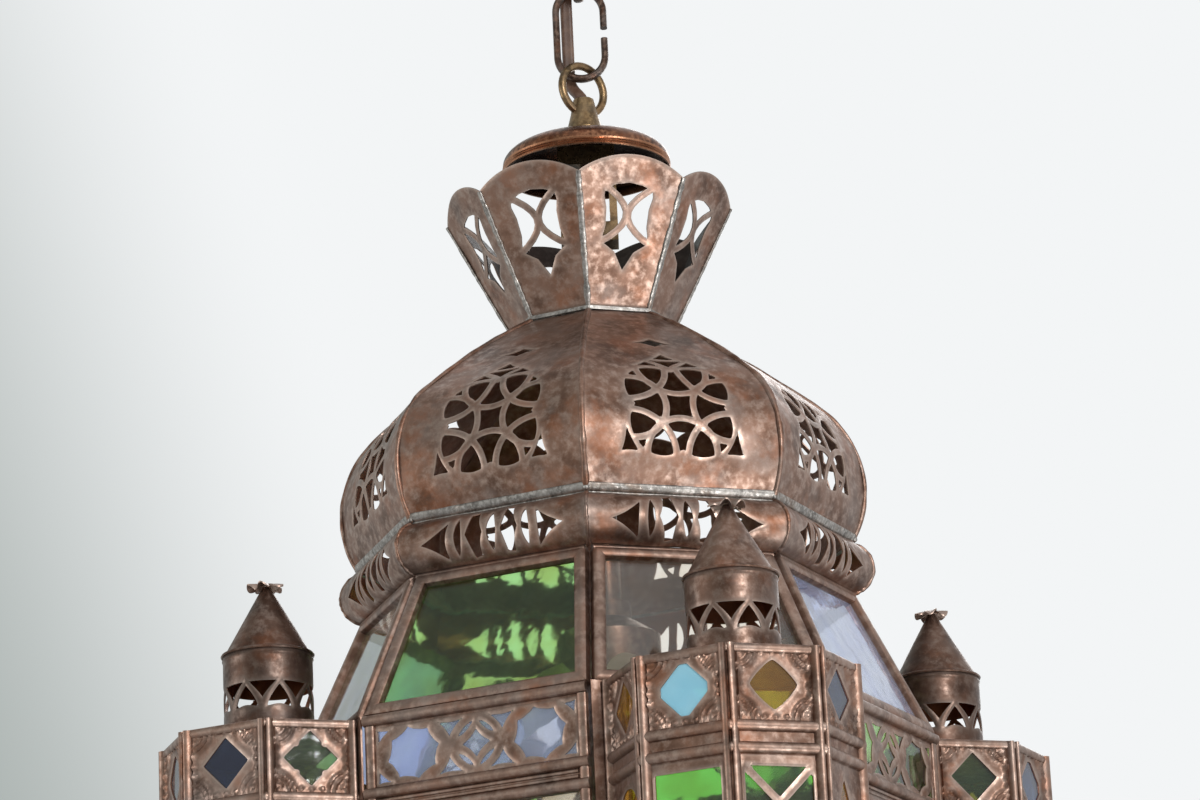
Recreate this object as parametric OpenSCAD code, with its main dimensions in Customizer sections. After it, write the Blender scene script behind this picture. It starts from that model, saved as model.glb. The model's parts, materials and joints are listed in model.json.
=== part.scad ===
// Hanging fanous lantern of pierced copper sheet and coloured panes, with four
// corner turrets, a hinged lamp door, a link chain and a ceiling canopy.
// The origin is on the ceiling, in the middle of the crossbar's screw holes.

/* [Suspension] */
// Radius of the ceiling canopy
canopy_r = 63.5; // [58:0.5:75]
// Height of the ceiling canopy
canopy_h = 22; // [18:1:34]
// Distance between the crossbar's two screw holes
crossbar_spacing = 88.9; // [80:0.1:96]
// Radius of a crossbar screw hole
crossbar_hole_r = 2.4; // [2:0.1:3]
// Thickness of the crossbar
crossbar_t = 2; // [1.5:0.1:3]
// Outer height of a chain link
link_h = 47; // [42:0.5:54]
// Outer width of a chain link
link_w = 25; // [24:0.5:27]
// Thickness of the link bar, seen on the broad side of the link
link_bar = 3.2; // [2.8:0.1:3.5]
// Breadth of the flattened link bar
link_broad = 5; // [4.6:0.1:5.4]
// Opening in the side of a link
link_mouth = 5.4; // [4:0.1:7]
// Turn of the chain about the plumb line, in degrees
chain_turn = 26; // [0:1:90]
// Turn of the lantern's ring against the lowest link, in degrees
ring_turn = 37; // [34:1:40]
// Outer radius of a hanging ring
ring_r = 13.5; // [13:0.1:15]
// Radius of the ring's wire
ring_wire_r = 1.85; // [1.6:0.05:2]
// Outside radius of the threaded pipe
pipe_r = 5.1; // [4.8:0.05:5.3]
// Radius of the wire way through the fittings
wire_way_r = 3.3; // [3.1:0.05:3.5]

/* [Cap and crown] */
// Radius of the vase cap
cap_r = 38.1; // [34:0.1:42]
// Height of the cap's rim
cap_rim_h = 4; // [3:0.5:6]
// Height of the cap above its rim
cap_dome_h = 11; // [8:0.5:14]
// Height of the crown, from its foot to its corners
crown_h = 53.8; // [46:0.1:60]
// Radius at the crown's upper corners
crown_top_r = 64.8; // [58:0.1:70]
// Rise of each crown panel's arched top edge
crown_arch = 8.8; // [6:0.1:11]
// Room between the crown's corners and the cap's rim
cap_lift = 22.5; // [18:0.5:28]

/* [Dome and roll] */
// Radius of the dome at its neck
neck_r = 37.4; // [34:0.1:42]
// Height of the dome
dome_h = 104.6; // [96:0.1:112]
// Radius of the dome at its belly
belly_r = 117; // [112:0.5:121]
// Height of the belly above the dome's seam
belly_z = 25.5; // [21:0.5:29]
// Radius of the bend at the belly
belly_bend = 47.6; // [43:0.1:52]
// Height of the half-round roll
roll_h = 23.1; // [20:0.1:25]
// Bulge of the roll
roll_bulge = 9; // [7:0.1:9.5]
// Thickness of the sheet metal
sheet_t = 0.8; // [0.6:0.05:1]

/* [Body] */
// Height of the sloped panes under the roll
shoulder_h = 65.3; // [58:0.1:72]
// Radius at the body's corners
body_r = 140.9; // [136:0.1:146]
// Height of the body's walls
body_h = 190; // [180:1:210]
// Depth of the pane frames
frame_t = 4; // [3.6:0.1:4.6]
// Width of the rails round a pane
rail_w = 5.5; // [5:0.1:6.5]
// Thickness of the glass
glass_t = 1.8; // [1.6:0.1:2]
// Height of the pierced band at the top and the foot of a wall
lattice_h = 25; // [23:0.5:27]
// Height of the moulding between two rows
moulding_h = 14; // [12:0.5:16]
// Height of the top and foot rail of a wall
wall_rail_h = 6; // [5:0.5:8]

/* [Turrets] */
// Distance from the lantern's axis to a turret's centre
turret_r = 150; // [146:0.5:154]
// Distance from a turret's centre to its faces
turret_face_r = 47.1; // [45:0.1:48]
// Width of the square opening in a turret's cell
cell_w = 26.5; // [24:0.5:28]
// Radius of a turret's cap
turret_cap_r = 19.6; // [18:0.1:22]
// Height of a turret's cap
turret_cap_h = 38; // [34:0.5:44]
// Height of the cone on a turret's cap
turret_cone_h = 31; // [26:0.5:36]
// Number of straps round a turret's cap
turret_straps = 10; // [8:1:12]

/* [Foot] */
// Height of the sloped panes under the body
foot_h = 46; // [40:1:54]
// Radius at the corners of the ring under them
foot_r = 76; // [70:0.5:82]
// Height of the ring
foot_ring_h = 14; // [11:0.5:17]
// Depth of the bowl that closes the foot
bowl_h = 40; // [34:1:46]
// Radius of the hole in the bowl's foot
bowl_foot_r = 13; // [12:0.5:15]
// Radius of the finial's ball
finial_ball_r = 11; // [9:0.5:13]

/* [Lamp] */
// Radius of the stem tube
stem_r = 6; // [5.8:0.1:7]
// Length of the stem tube under the neck plate
stem_h = 126; // [118:1:134]
// Radius of the lamp cluster's cup
cluster_r = 22.7; // [21:0.1:26]
// Height of the lamp cluster's cup
cluster_h = 40; // [36:1:46]
// Outside radius of a lamp socket
socket_r = 9.6; // [9:0.1:10]
// Length of a lamp socket
socket_h = 34; // [30:1:38]
// Radius of a lamp bulb
bulb_r = 17; // [14:0.5:18]
// Length of a bulb's glass
bulb_h = 52; // [46:1:56]

/* [Door] */
// Height of the pins' knuckles
knuckle_h = 9; // [7:0.5:11]
// Radius of a knuckle
knuckle_r = 2.3; // [2.1:0.05:2.4]
// Radius of a hinge pin
hinge_pin_r = 1; // [0.8:0.05:1.2]
// Length of the turn button that holds the door shut
button_reach = 10; // [8:0.5:12]

/* [Hidden] */
$fn = 48;

// Shapes of the eight-sided shell
sides = 8;
side_turn = 360 / sides;
half_turn = side_turn / 2;
face_share = cos(half_turn);
edge_share = sin(half_turn);
turret_turn_shares = [1, 3, 5, 7];

// Clearances and the cuts' overrun
seat_gap = 0.1;
seam_gap = 0.2;
thread_gap = 0.05;
pin_gap = 0.06;
chain_gap = 0.4;
cut = 1;

// Fitting with a hanging ring
flange_r = 8.9;
flange_h = 2.2;
groove_r = 7.5;
groove_h = 1.4;
collar_r = 8.4;
collar_h = 1.8;
cone_top_r = 4.3;
cone_h = 15;
fitting_h = flange_h + groove_h + collar_h + cone_h;
pipe_socket_h = 8;
ring_line_r = ring_r - ring_wire_r;
ring_sit = 4.7;
ring_lift = fitting_h + ring_sit;
pipe_wall = 1.7;
pipe_bore_r = pipe_r - pipe_wall;

// Chain: wire centres of the bends, from the ceiling down
link_line_h = link_h - link_bar;
link_line_r = (link_w - link_bar) / 2;
link_leg = link_line_h - 2 * link_line_r;
canopy_foot_z = -seat_gap - canopy_h;
canopy_ring_z = canopy_foot_z - ring_lift - ring_line_r;
link_hang = link_bar + chain_gap;
ring_hang = link_bar / 2 + ring_wire_r + chain_gap;
link_3_z = canopy_ring_z + ring_hang - link_line_h;
link_2_z = link_3_z + link_hang - link_line_h;
link_1_z = link_2_z + link_hang - link_line_h;
// A ring turned against its link rides on the bend's flanks, a little higher
turned_ring_lift = 6;
loop_ring_z = link_1_z + turned_ring_lift - ring_line_r;
cap_top_z = loop_ring_z - ring_lift;

// Levels of the lantern
cap_rim_z = cap_top_z - cap_dome_h - cap_rim_h;
crown_top_z = cap_rim_z - cap_lift;
crown_foot_z = crown_top_z - crown_h;
neck_plate_t = 1.6;
neck_z = crown_foot_z - seat_gap - neck_plate_t - seat_gap;
seam_z = neck_z - dome_h;
roll_top_z = seam_z - seat_gap;
shoulder_top_z = roll_top_z - roll_h - seat_gap;
body_top_z = shoulder_top_z - shoulder_h - seat_gap;
body_foot_z = body_top_z - body_h;
foot_top_z = body_foot_z - seat_gap;
foot_ring_z = foot_top_z - foot_h - seat_gap;
bowl_top_z = foot_ring_z - foot_ring_h - seat_gap;
bowl_foot_z = bowl_top_z - bowl_h;

// Dome profile: a flank that meets the belly's bend at the shoulder
shoulder_angle = 40;
belly_centre_r = belly_r - belly_bend;
belly_end_angle = 90 + asin(belly_z / belly_bend);
seam_r = belly_centre_r + belly_bend * sin(belly_end_angle);
dome_shoulder = [belly_centre_r + belly_bend * sin(shoulder_angle),
    belly_z + belly_bend * cos(shoulder_angle)];
flank_chord = dome_shoulder - [neck_r, dome_h];
flank_half = shoulder_angle + atan2(flank_chord[1], flank_chord[0]);
flank_bend = norm(flank_chord) / (2 * sin(flank_half));
flank_centre = dome_shoulder - flank_bend * [sin(shoulder_angle), cos(shoulder_angle)];
flank_steps = 4;
belly_steps = 14;

// Points of an arc about a centre, from the vertical, with a named offset
function arc(centre, r, from, to, steps) =
    [for (i = [0:steps]) let (a = from + (to - from) * i / steps)
        centre + r * [sin(a), cos(a)]];
function backward(points) = [for (i = [len(points) - 1:-1:0]) points[i]];
function dome_line(out, neck_trim = 0, foot_trim = 0) = concat(
    arc(flank_centre, flank_bend + out, shoulder_angle - 2 * flank_half + neck_trim,
        shoulder_angle - 2 * flank_half / flank_steps, flank_steps - 1),
    arc([belly_centre_r, belly_z], belly_bend + out, shoulder_angle,
        belly_end_angle - foot_trim, belly_steps));
function squash(points, share) = [for (p = points) [p[0] * share, p[1]]];

// Roll profile: an arc over its height
function bulge_r(h, bulge) = (h * h / 4 + bulge * bulge) / (2 * bulge);
function roll_line(base_r, h, bulge, out, steps) =
    let (r = bulge_r(h, bulge), a = asin(h / 2 / r),
        half = bulge > h / 2 ? 180 - a : a)
    arc([base_r + bulge - r, -h / 2], r + out, 90 - half, 90 + half, steps);

// Eight-sided body and its slopes, measured on a face
body_face_r = body_r * face_share;
roll_foot_face_r = seam_r * face_share;
foot_face_r = foot_r * face_share;
mitre_gap = frame_t * tan(half_turn);
wall_half_w = body_r * edge_share - mitre_gap - seat_gap;

// Slopes: length, lean and half widths of the face at its two ends
shoulder_run = body_face_r - roll_foot_face_r;
shoulder_len = norm([shoulder_run, shoulder_h]);
shoulder_lean = atan2(shoulder_run, shoulder_h);
foot_run = body_face_r - foot_face_r;
foot_len = norm([foot_run, foot_h]);
foot_lean = atan2(foot_run, foot_h);
crown_run = (crown_top_r - neck_r) * face_share;
crown_len = norm([crown_run, crown_h]);
crown_lean = atan2(crown_run, crown_h);

// Rebate that holds a pane in its frame
rebate_w = 2;
skin_t = sheet_t;
bead_r = 2.5;

module face(i) { rotate([0, 0, i * side_turn]) children(); }
// Stands a drawing up on a wall: x along it, y upwards, and its thickness inwards
module stand(r, z) { translate([0, -r, z]) rotate([90, 0, 0]) children(); }
// Lays a drawing on a slope whose foot is at r and z and which leans out by lean
module lean_out(r, z, lean) { translate([0, -r, z]) rotate([90 + lean, 0, 0]) children(); }
module plate(t) { translate([0, 0, -t]) linear_extrude(height = t) children(); }
module side_drawing() { rotate([90, 0, -90]) children(); }

// Keeps what lies between two corners of the shell
module wedge(r, z_low, z_high, gap) {
    apex = gap / 2 / edge_share;
    translate([0, -apex, z_low]) linear_extrude(height = z_high - z_low)
        polygon([[0, 0], [-r * tan(half_turn), -r], [r * tan(half_turn), -r]]);
}

// A panel bent in height and straight across, from its outer and inner lines
module bent_panel(outer, inner, r, z_low, z_high, gap) {
    intersection() {
        side_drawing() linear_extrude(height = 2 * r, center = true)
            polygon(concat(squash(outer, face_share), backward(squash(inner, face_share))));
        wedge(r, z_low, z_high, gap);
    }
}

// Keeps what lies between two levels
module between(r, z_low, z_high) {
    intersection() {
        children();
        translate([-r, -r, z_low]) cube([2 * r, 2 * r, z_high - z_low]);
    }
}

// Frame round a pane, as a trapezoid between two half widths
module trapezoid(foot, top, h) { polygon([[-foot, 0], [foot, 0], [top, h], [-top, h]]); }
module inner_trapezoid(foot, top, h, edge) {
    slope = (foot - top) / h;
    side = edge * norm([1, slope]);
    polygon([[-foot + slope * edge + side, edge], [foot - slope * edge - side, edge],
        [top + slope * edge - side, h - edge], [-top - slope * edge + side, h - edge]]);
}
module pane_frame(foot, top, h) {
    difference() {
        plate(frame_t) trapezoid(foot, top, h);
        translate([0, 0, cut]) plate(frame_t + 2 * cut) inner_trapezoid(foot, top, h, rail_w);
        translate([0, 0, glass_t - frame_t]) plate(glass_t + cut)
            inner_trapezoid(foot, top, h, rail_w - rebate_w);
    }
}
module frame_pane(foot, top, h) {
    translate([0, 0, glass_t - frame_t]) plate(glass_t)
        inner_trapezoid(foot, top, h, rail_w - rebate_w + seat_gap);
}

// Ring fitting: a flange, a groove, a collar and a cone under a wire ring
module ring_fitting() {
    difference() {
        union() {
            cylinder(r = flange_r, h = flange_h);
            translate([0, 0, flange_h]) cylinder(r = groove_r, h = groove_h);
            translate([0, 0, flange_h + groove_h]) cylinder(r = collar_r, h = collar_h);
            translate([0, 0, flange_h + groove_h + collar_h])
                cylinder(r1 = collar_r, r2 = cone_top_r, h = cone_h);
            translate([0, 0, ring_lift]) rotate([90, 0, 0])
                rotate_extrude() translate([ring_line_r, 0]) circle(r = ring_wire_r);
        }
        translate([0, 0, -cut]) cylinder(r = pipe_r + thread_gap, h = pipe_socket_h + cut);
        translate([0, 0, -cut]) cylinder(r = wire_way_r, h = fitting_h + 2 * cut);
    }
}

module ceiling_crossbar() {
    bar_half = crossbar_spacing / 2 + 4 * crossbar_hole_r;
    bar_w = 3.6 * pipe_r;
    color("darkgoldenrod") difference() {
        translate([-bar_half, -bar_w / 2, -crossbar_t]) cube([2 * bar_half, bar_w, crossbar_t]);
        for (s = [-1, 1]) translate([s * crossbar_spacing / 2, 0, -crossbar_t - cut])
            cylinder(r = crossbar_hole_r, h = crossbar_t + 2 * cut);
        translate([0, 0, -crossbar_t - cut])
            cylinder(r = pipe_r + thread_gap, h = crossbar_t + 2 * cut);
    }
}
// Half the profile of a spun dish: a straight rim, then a bend in to its hole
module dish_profile(r, rim_h, h, t) {
    function dish(r, h) = [for (i = [0:12]) let (a = 90 * i / 12)
        [boss_r + (r - boss_r) * cos(a), rim_h + (h - rim_h) * sin(a)]];
    boss_r = flange_r + t;
    polygon(concat([[r, 0]], dish(r, h), [[pipe_r + seam_gap, h]],
        [[pipe_r + seam_gap, h - t]], backward(dish(r - t, h - t)), [[r - t, 0]]));
}
module ceiling_canopy() {
    rim_h = canopy_h / 4;
    color("sienna") translate([0, 0, -seat_gap]) mirror([0, 0, 1])
        rotate_extrude() dish_profile(canopy_r, rim_h, canopy_h, sheet_t);
}
module pipe(z_low, z_high) {
    translate([0, 0, z_low]) difference() {
        cylinder(r = pipe_r, h = z_high - z_low);
        translate([0, 0, -cut]) cylinder(r = pipe_bore_r, h = z_high - z_low + 2 * cut);
    }
}
module canopy_nipple() {
    color("darkgoldenrod") pipe(canopy_foot_z - pipe_socket_h + seat_gap, -seat_gap);
}
nut_r = 8.6;
nut_h = 3.4;
module nut(z) {
    translate([0, 0, z]) difference() {
        cylinder(r = nut_r, h = nut_h, $fn = 6);
        translate([0, 0, -cut]) cylinder(r = pipe_r + thread_gap, h = nut_h + 2 * cut);
    }
}
module canopy_nut() { color("darkgoldenrod") nut(-crossbar_t - seat_gap - nut_h); }
module canopy_loop() {
    color("darkgoldenrod") translate([0, 0, canopy_foot_z - seat_gap])
        rotate([180, 0, chain_turn + 90]) ring_fitting();
}

// Chain link: two bends and two legs of flattened bar, one leg with a mouth
module bar_section() {
    flat = link_broad - link_bar;
    translate([-link_bar / 2, -flat / 2]) square([link_bar, flat]);
    for (s = [-1, 1]) translate([0, s * flat / 2]) circle(r = link_bar / 2);
}
module link_bend() {
    rotate([90, 0, 0]) rotate_extrude(angle = 180) translate([link_line_r, 0]) bar_section();
}
module chain_link(z, turn) {
    rotate([0, 0, turn]) translate([0, 0, z + link_line_r]) {
        rotate([0, 180, 0]) link_bend();
        translate([0, 0, link_leg]) link_bend();
        translate([-link_line_r, 0, 0]) linear_extrude(height = link_leg) bar_section();
        for (z = [0, (link_leg + link_mouth) / 2]) translate([link_line_r, 0, z])
            linear_extrude(height = (link_leg - link_mouth) / 2) bar_section();
    }
}
module chain_link_3() { color("saddlebrown") chain_link(link_3_z, chain_turn); }
module chain_link_2() { color("saddlebrown") chain_link(link_2_z, chain_turn + 90); }
module chain_link_1() { color("saddlebrown") chain_link(link_1_z, chain_turn); }

// Flat twin cord, from the lamp cup up through the stem and beside the chain to the
// canopy. Its route is across the chain, behind the chain, and down from the ceiling.
cord_w = 5.6;
cord_t = 2.8;
cord_route = [[0, 0, -447], [0, 0, -400], [0, 0, -350], [0, 0, -300], [0, 0, -250],
    [0, 0, -200], [0, 0, -191], [-1, 0.8, -188], [-3, 2.6, -185], [-5, 4.3, -182],
    [-6, 4.9, -178], [-6, 5, -172], [-6, 5, -160], [-6, 5, -150], [-6, 5, -140],
    [-6, 5, -130], [-6, 5, -120], [-6, 5, -110], [-6, 5, -100], [-6, 5, -90],
    [-6, 5, -80], [-6, 5, -70], [-6, 5, -60], [-5.6, 4.8, -54], [-4, 3.6, -50],
    [-2, 1.8, -47], [-0.5, 0.5, -44], [0, 0, -41], [0, 0, -30], [0, 0, -12]];
cord_sides = 8;
module lamp_cord() {
    n = len(cord_route);
    rings = [for (p = cord_route) for (k = [0:cord_sides - 1])
        let (a = 360 * (k + 0.5) / cord_sides)
        p + [cord_w / 2 * cos(a) / cos(180 / cord_sides),
            cord_t / 2 * sin(a) / cos(180 / cord_sides), 0]];
    walls = [for (i = [0:n - 2]) for (k = [0:cord_sides - 1])
        let (j = (k + 1) % cord_sides)
        [i * cord_sides + k, (i + 1) * cord_sides + k, (i + 1) * cord_sides + j,
            i * cord_sides + j]];
    ends = [[for (k = [0:cord_sides - 1]) k],
        [for (k = [cord_sides - 1:-1:0]) (n - 1) * cord_sides + k]];
    color("saddlebrown") rotate([0, 0, chain_turn]) polyhedron(rings, concat(walls, ends));
}

module top_loop() {
    color("darkgoldenrod") translate([0, 0, cap_top_z + seat_gap])
        rotate([0, 0, chain_turn + ring_turn]) ring_fitting();
}
module vase_cap() {
    color("peru") translate([0, 0, cap_rim_z]) rotate_extrude()
        dish_profile(cap_r, cap_rim_h, cap_rim_h + cap_dome_h, sheet_t);
}

// Hickey: a brass yoke between the two pipes
hickey_w = 26;
hickey_d = 14;
hickey_h = 46;
hickey_end = 9;
hickey_leg = 3.4;
hickey_hole_r = 2.5;
hickey_top_z = cap_top_z - sheet_t - seat_gap - nut_h - seat_gap;
hickey_foot_z = hickey_top_z - hickey_h;
module hickey() {
    color("darkgoldenrod") rotate([0, 0, chain_turn]) translate([0, 0, hickey_foot_z])
        difference() {
            translate([-hickey_w / 2, -hickey_d / 2, 0]) cube([hickey_w, hickey_d, hickey_h]);
            translate([-hickey_w / 2 + hickey_leg, -hickey_d / 2 - cut, hickey_end])
                cube([hickey_w - 2 * hickey_leg, hickey_d + 2 * cut,
                    hickey_h - 2 * hickey_end]);
            translate([0, 0, -cut]) cylinder(r = pipe_r + thread_gap, h = hickey_h + 2 * cut);
            translate([-hickey_w / 2 - cut, 0, hickey_h / 2]) rotate([0, 90, 0])
                cylinder(r = hickey_hole_r, h = hickey_w + 2 * cut);
        }
}
module top_nipple() {
    color("darkgoldenrod")
        pipe(hickey_top_z - hickey_end, cap_top_z + pipe_socket_h - seat_gap);
}
neck_plate_z = neck_z + seat_gap;
stem_foot_z = neck_z - stem_h;
neck_drum_r = 10.3;
neck_drum_h = 7.3;
cluster_top_z = stem_foot_z - 2 * seat_gap - neck_drum_h;
cluster_shoulder_h = 8;
module stem_pipe() {
    color("darkgoldenrod")
        pipe(cluster_top_z - nut_h - 4 * sheet_t, hickey_foot_z + hickey_end);
}
module stem_tube() {
    color("chocolate") translate([0, 0, stem_foot_z]) difference() {
        cylinder(r = stem_r, h = stem_h);
        translate([0, 0, -cut]) cylinder(r = pipe_r + thread_gap, h = stem_h + 2 * cut);
    }
}
module stem_nuts() {
    color("darkgoldenrod") {
        nut(hickey_top_z + seat_gap);
        nut(neck_plate_z + neck_plate_t + seat_gap);
        nut(cluster_top_z - 2 * sheet_t - seat_gap - nut_h);
    }
}
module stem_neck() {
    color("chocolate") translate([0, 0, cluster_top_z + seat_gap]) difference() {
        cylinder(r = neck_drum_r, h = neck_drum_h);
        translate([0, 0, -cut]) cylinder(r = pipe_r + thread_gap, h = neck_drum_h + 2 * cut);
    }
}

// Lamp cluster: a cup on the pipe, with four sockets leaning out of its wall
socket_lean = 58;
socket_start = 20;
socket_z = cluster_top_z - cluster_shoulder_h - cluster_h / 2 + socket_start * cos(socket_lean);
module at_socket(i) {
    face(turret_turn_shares[i]) translate([0, 0, socket_z]) rotate([180 - socket_lean, 0, 0])
        children();
}
module cluster_cup() {
    wall = 2 * sheet_t;
    low = -cluster_shoulder_h - cluster_h;
    color("chocolate") difference() {
        translate([0, 0, cluster_top_z]) rotate_extrude()
            polygon([[pipe_r + thread_gap, 0], [neck_drum_r, 0],
                [cluster_r, -cluster_shoulder_h], [cluster_r, low], [cluster_r - wall, low],
                [cluster_r - wall, -cluster_shoulder_h - wall / 2],
                [neck_drum_r - wall / 2, -wall], [pipe_r + thread_gap, -wall]]);
        for (i = [0:3]) at_socket(i) cylinder(r = socket_r + seat_gap, h = 2 * cluster_r);
    }
}
module cluster_cover() {
    z = cluster_top_z - cluster_shoulder_h - cluster_h - seat_gap;
    lip = 2 * sheet_t;
    knob_r = neck_drum_r / 2;
    color("chocolate") translate([0, 0, z]) mirror([0, 0, 1]) rotate_extrude()
        polygon([[0, 0], [cluster_r, 0], [cluster_r, lip], [neck_drum_r, 2 * lip],
            [knob_r, 2 * lip], [knob_r, 4 * lip], [knob_r / 2, 5 * lip], [0, 5 * lip]]);
}
bulb_base_r = 6.8;
bulb_base_h = 22;
module lamp_socket(i) {
    color("wheat") at_socket(i) difference() {
        translate([0, 0, socket_start]) cylinder(r = socket_r, h = socket_h);
        translate([0, 0, socket_start + socket_h - bulb_base_h - seat_gap])
            cylinder(r = bulb_base_r + seat_gap, h = bulb_base_h + 2 * cut);
    }
}
module bulb(i) {
    neck_share = 0.55;
    tip_share = 0.12;
    foot = socket_start + socket_h + seat_gap;
    color("lightyellow") at_socket(i) rotate_extrude()
        polygon(concat([[0, foot - bulb_base_h], [bulb_base_r, foot - bulb_base_h],
            [bulb_base_r, foot]],
            [for (k = [0:14]) let (u = k / 14)
                [bulb_r * (neck_share + (1 - neck_share) * sin(180 * u)) *
                    (u < 0.5 ? 1 : cos(90 * (2 * u - 1)) * (1 - tip_share) + tip_share),
                    foot + bulb_h * u]],
            [[0, foot + bulb_h]]));
}
module lamp_socket_1() { lamp_socket(0); }
module lamp_socket_2() { lamp_socket(1); }
module lamp_socket_3() { lamp_socket(2); }
module lamp_socket_4() { lamp_socket(3); }
module bulb_1() { bulb(0); }
module bulb_2() { bulb(1); }
module bulb_3() { bulb(2); }
module bulb_4() { bulb(3); }

// Neck plate: an eight-sided vented plate on the stem, which carries the shell
neck_plate_lip = 1.2;
vent_r = 5.5;
module neck_plate() {
    r = neck_r + neck_plate_lip;
    color("gray") translate([0, 0, neck_plate_z]) rotate([0, 0, half_turn]) difference() {
        cylinder(r = r, h = neck_plate_t, $fn = 8);
        translate([0, 0, -cut]) {
            cylinder(r = pipe_r + thread_gap, h = neck_plate_t + 2 * cut);
            for (i = [0:sides - 1]) rotate([0, 0, i * side_turn + half_turn])
                translate([0, (neck_r * face_share + nut_r) / 2, 0])
                    cylinder(r = vent_r, h = neck_plate_t + 2 * cut);
        }
    }
}

// Crown: flared panels with an arched top edge and a shield crossed by two straps
crown_foot_half = neck_r * edge_share - seam_gap;
crown_top_half = crown_top_r * edge_share - seam_gap;
crown_strap = 3;
shield_w_share = 0.47;
shield_low_share = 0.28;
shield_mid_share = 0.68;
shield_top_share = 0.875;
shield_shoulder_share = 0.49;
shield_peak_share = 0.94;
module crown_shield() {
    w = crown_top_half * shield_w_share;
    y = crown_len;
    cross = [0, y * shield_mid_share];
    difference() {
        polygon([[0, y * shield_low_share], [w * 0.71, y * shield_shoulder_share * 0.94],
            [w, y * shield_shoulder_share], [w * 0.88, y * shield_mid_share],
            [w * 0.97, y * shield_top_share], [w * 0.5, y * shield_peak_share * 0.985],
            [0, y * shield_peak_share], [-w * 0.5, y * shield_peak_share * 0.985],
            [-w * 0.97, y * shield_top_share], [-w * 0.88, y * shield_mid_share],
            [-w, y * shield_shoulder_share], [-w * 0.71, y * shield_shoulder_share * 0.94]]);
        for (s = [-1, 1]) {
            reach = norm([w, y * (shield_top_share - shield_shoulder_share)]);
            turn = atan2(y * (shield_top_share - shield_shoulder_share) / 2, w);
            translate(cross) rotate([0, 0, s * turn]) square([reach * 2, crown_strap],
                center = true);
        }
    }
}
module crown_panels() {
    arch_r = (crown_top_half * crown_top_half + crown_arch * crown_arch) / (2 * crown_arch);
    arch_angle = asin(crown_top_half / arch_r);
    color("rosybrown") for (i = [0:sides - 1]) face(i)
        lean_out(neck_r * face_share, crown_foot_z, crown_lean) plate(sheet_t)
            difference() {
                polygon(concat([[-crown_foot_half, 0], [crown_foot_half, 0]],
                    arc([0, crown_len + crown_arch - arch_r], arch_r, arch_angle,
                        -arch_angle, 16)));
                crown_shield();
            }
}

// Dome panels: a rosette of crossing arcs, two triangles under it, kites above it
rosette_angle = 73;
node_pitch = 8.8;
dome_strap = 2.6;
lobe_share = 1.62;
cross_r_share = 1.78;
cross_at_share = 2.47;
corner_r_share = 2.35;
corner_at_share = 2.65;
module strap_ring(r) {
    difference() {
        circle(r = r + dome_strap / 2);
        circle(r = r - dome_strap / 2);
    }
}
module rosette() {
    p = node_pitch;
    difference() {
        union() {
            square(2 * p, center = true);
            for (x = [-p, p]) for (y = [-p, p]) translate([x, y]) circle(r = p * lobe_share);
        }
        for (k = [0:3]) rotate([0, 0, 90 * k]) {
            translate([p * cross_at_share, 0]) strap_ring(p * cross_r_share);
            translate([p * corner_at_share, p * corner_at_share])
                strap_ring(p * corner_r_share);
        }
    }
}
module dome_motif() {
    p = node_pitch;
    rosette();
    for (s = [-1, 1]) {
        translate([s * 2.65 * p, -2.35 * p])
            polygon([[0, 0.5 * p], [s * 0.45 * p, -0.4 * p], [-s * 0.5 * p, -0.15 * p]]);
        translate([s * 0.95 * p, 2.95 * p])
            polygon([[-0.7 * p, 0], [0, 0.38 * p], [0.7 * p, 0], [0, -0.38 * p]]);
    }
}
rhomb_w = 12;
rhomb_h = 6;
rhomb_angle = 36;
module dome_panels() {
    r = belly_r + sheet_t;
    rosette_centre = [belly_centre_r + belly_bend * sin(rosette_angle),
        belly_z + belly_bend * cos(rosette_angle)];
    rhomb_centre = flank_centre + flank_bend * [sin(rhomb_angle), cos(rhomb_angle)];
    color("sienna") translate([0, 0, seam_z]) for (i = [0:sides - 1]) face(i) difference() {
        bent_panel(dome_line(0), dome_line(-sheet_t), r, -cut, dome_h, seam_gap);
        lean_out(rosette_centre[0] * face_share, rosette_centre[1], rosette_angle - 90)
            translate([0, 0, belly_bend / 3]) plate(belly_bend * 2 / 3) dome_motif();
        lean_out(rhomb_centre[0] * face_share, rhomb_centre[1], rhomb_angle - 90)
            translate([0, 0, rhomb_h / 2]) plate(rhomb_h) polygon([[-rhomb_w / 2, 0],
                [0, -rhomb_h / 2], [rhomb_w / 2, 0], [0, rhomb_h / 2]]);
    }
}
// Angles by which the raised strips stop short of the neck plate and the roll
seam_w = 2.4;
neck_trim = 0.2;
foot_trim = 1;
module raised_seams() {
    color("dimgray") for (i = [0:sides - 1]) rotate([0, 0, (i + 0.5) * side_turn])
        translate([0, 0, seam_z]) side_drawing()
            linear_extrude(height = seam_w, center = true)
                polygon(concat(dome_line(seat_gap / 2, neck_trim, foot_trim),
                    backward(dome_line(sheet_t, neck_trim, foot_trim))));
}
solder_h = 4;
solder_half = seam_w / 2 + seam_gap;
module solder_run() {
    from_angle = belly_end_angle - solder_h / belly_bend * 180 / PI;
    steps = 3;
    centre = [belly_centre_r, belly_z];
    to_angle = belly_end_angle - foot_trim;
    color("gray") translate([0, 0, seam_z]) for (i = [0:sides - 1]) face(i) bent_panel(
        arc(centre, belly_bend + sheet_t, from_angle, to_angle, steps),
        arc(centre, belly_bend + seat_gap / 2, from_angle, to_angle, steps),
        belly_r + sheet_t, -cut, dome_h, 2 * solder_half);
}
module dome_solder() {
    raised_seams();
    solder_run();
}

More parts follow.
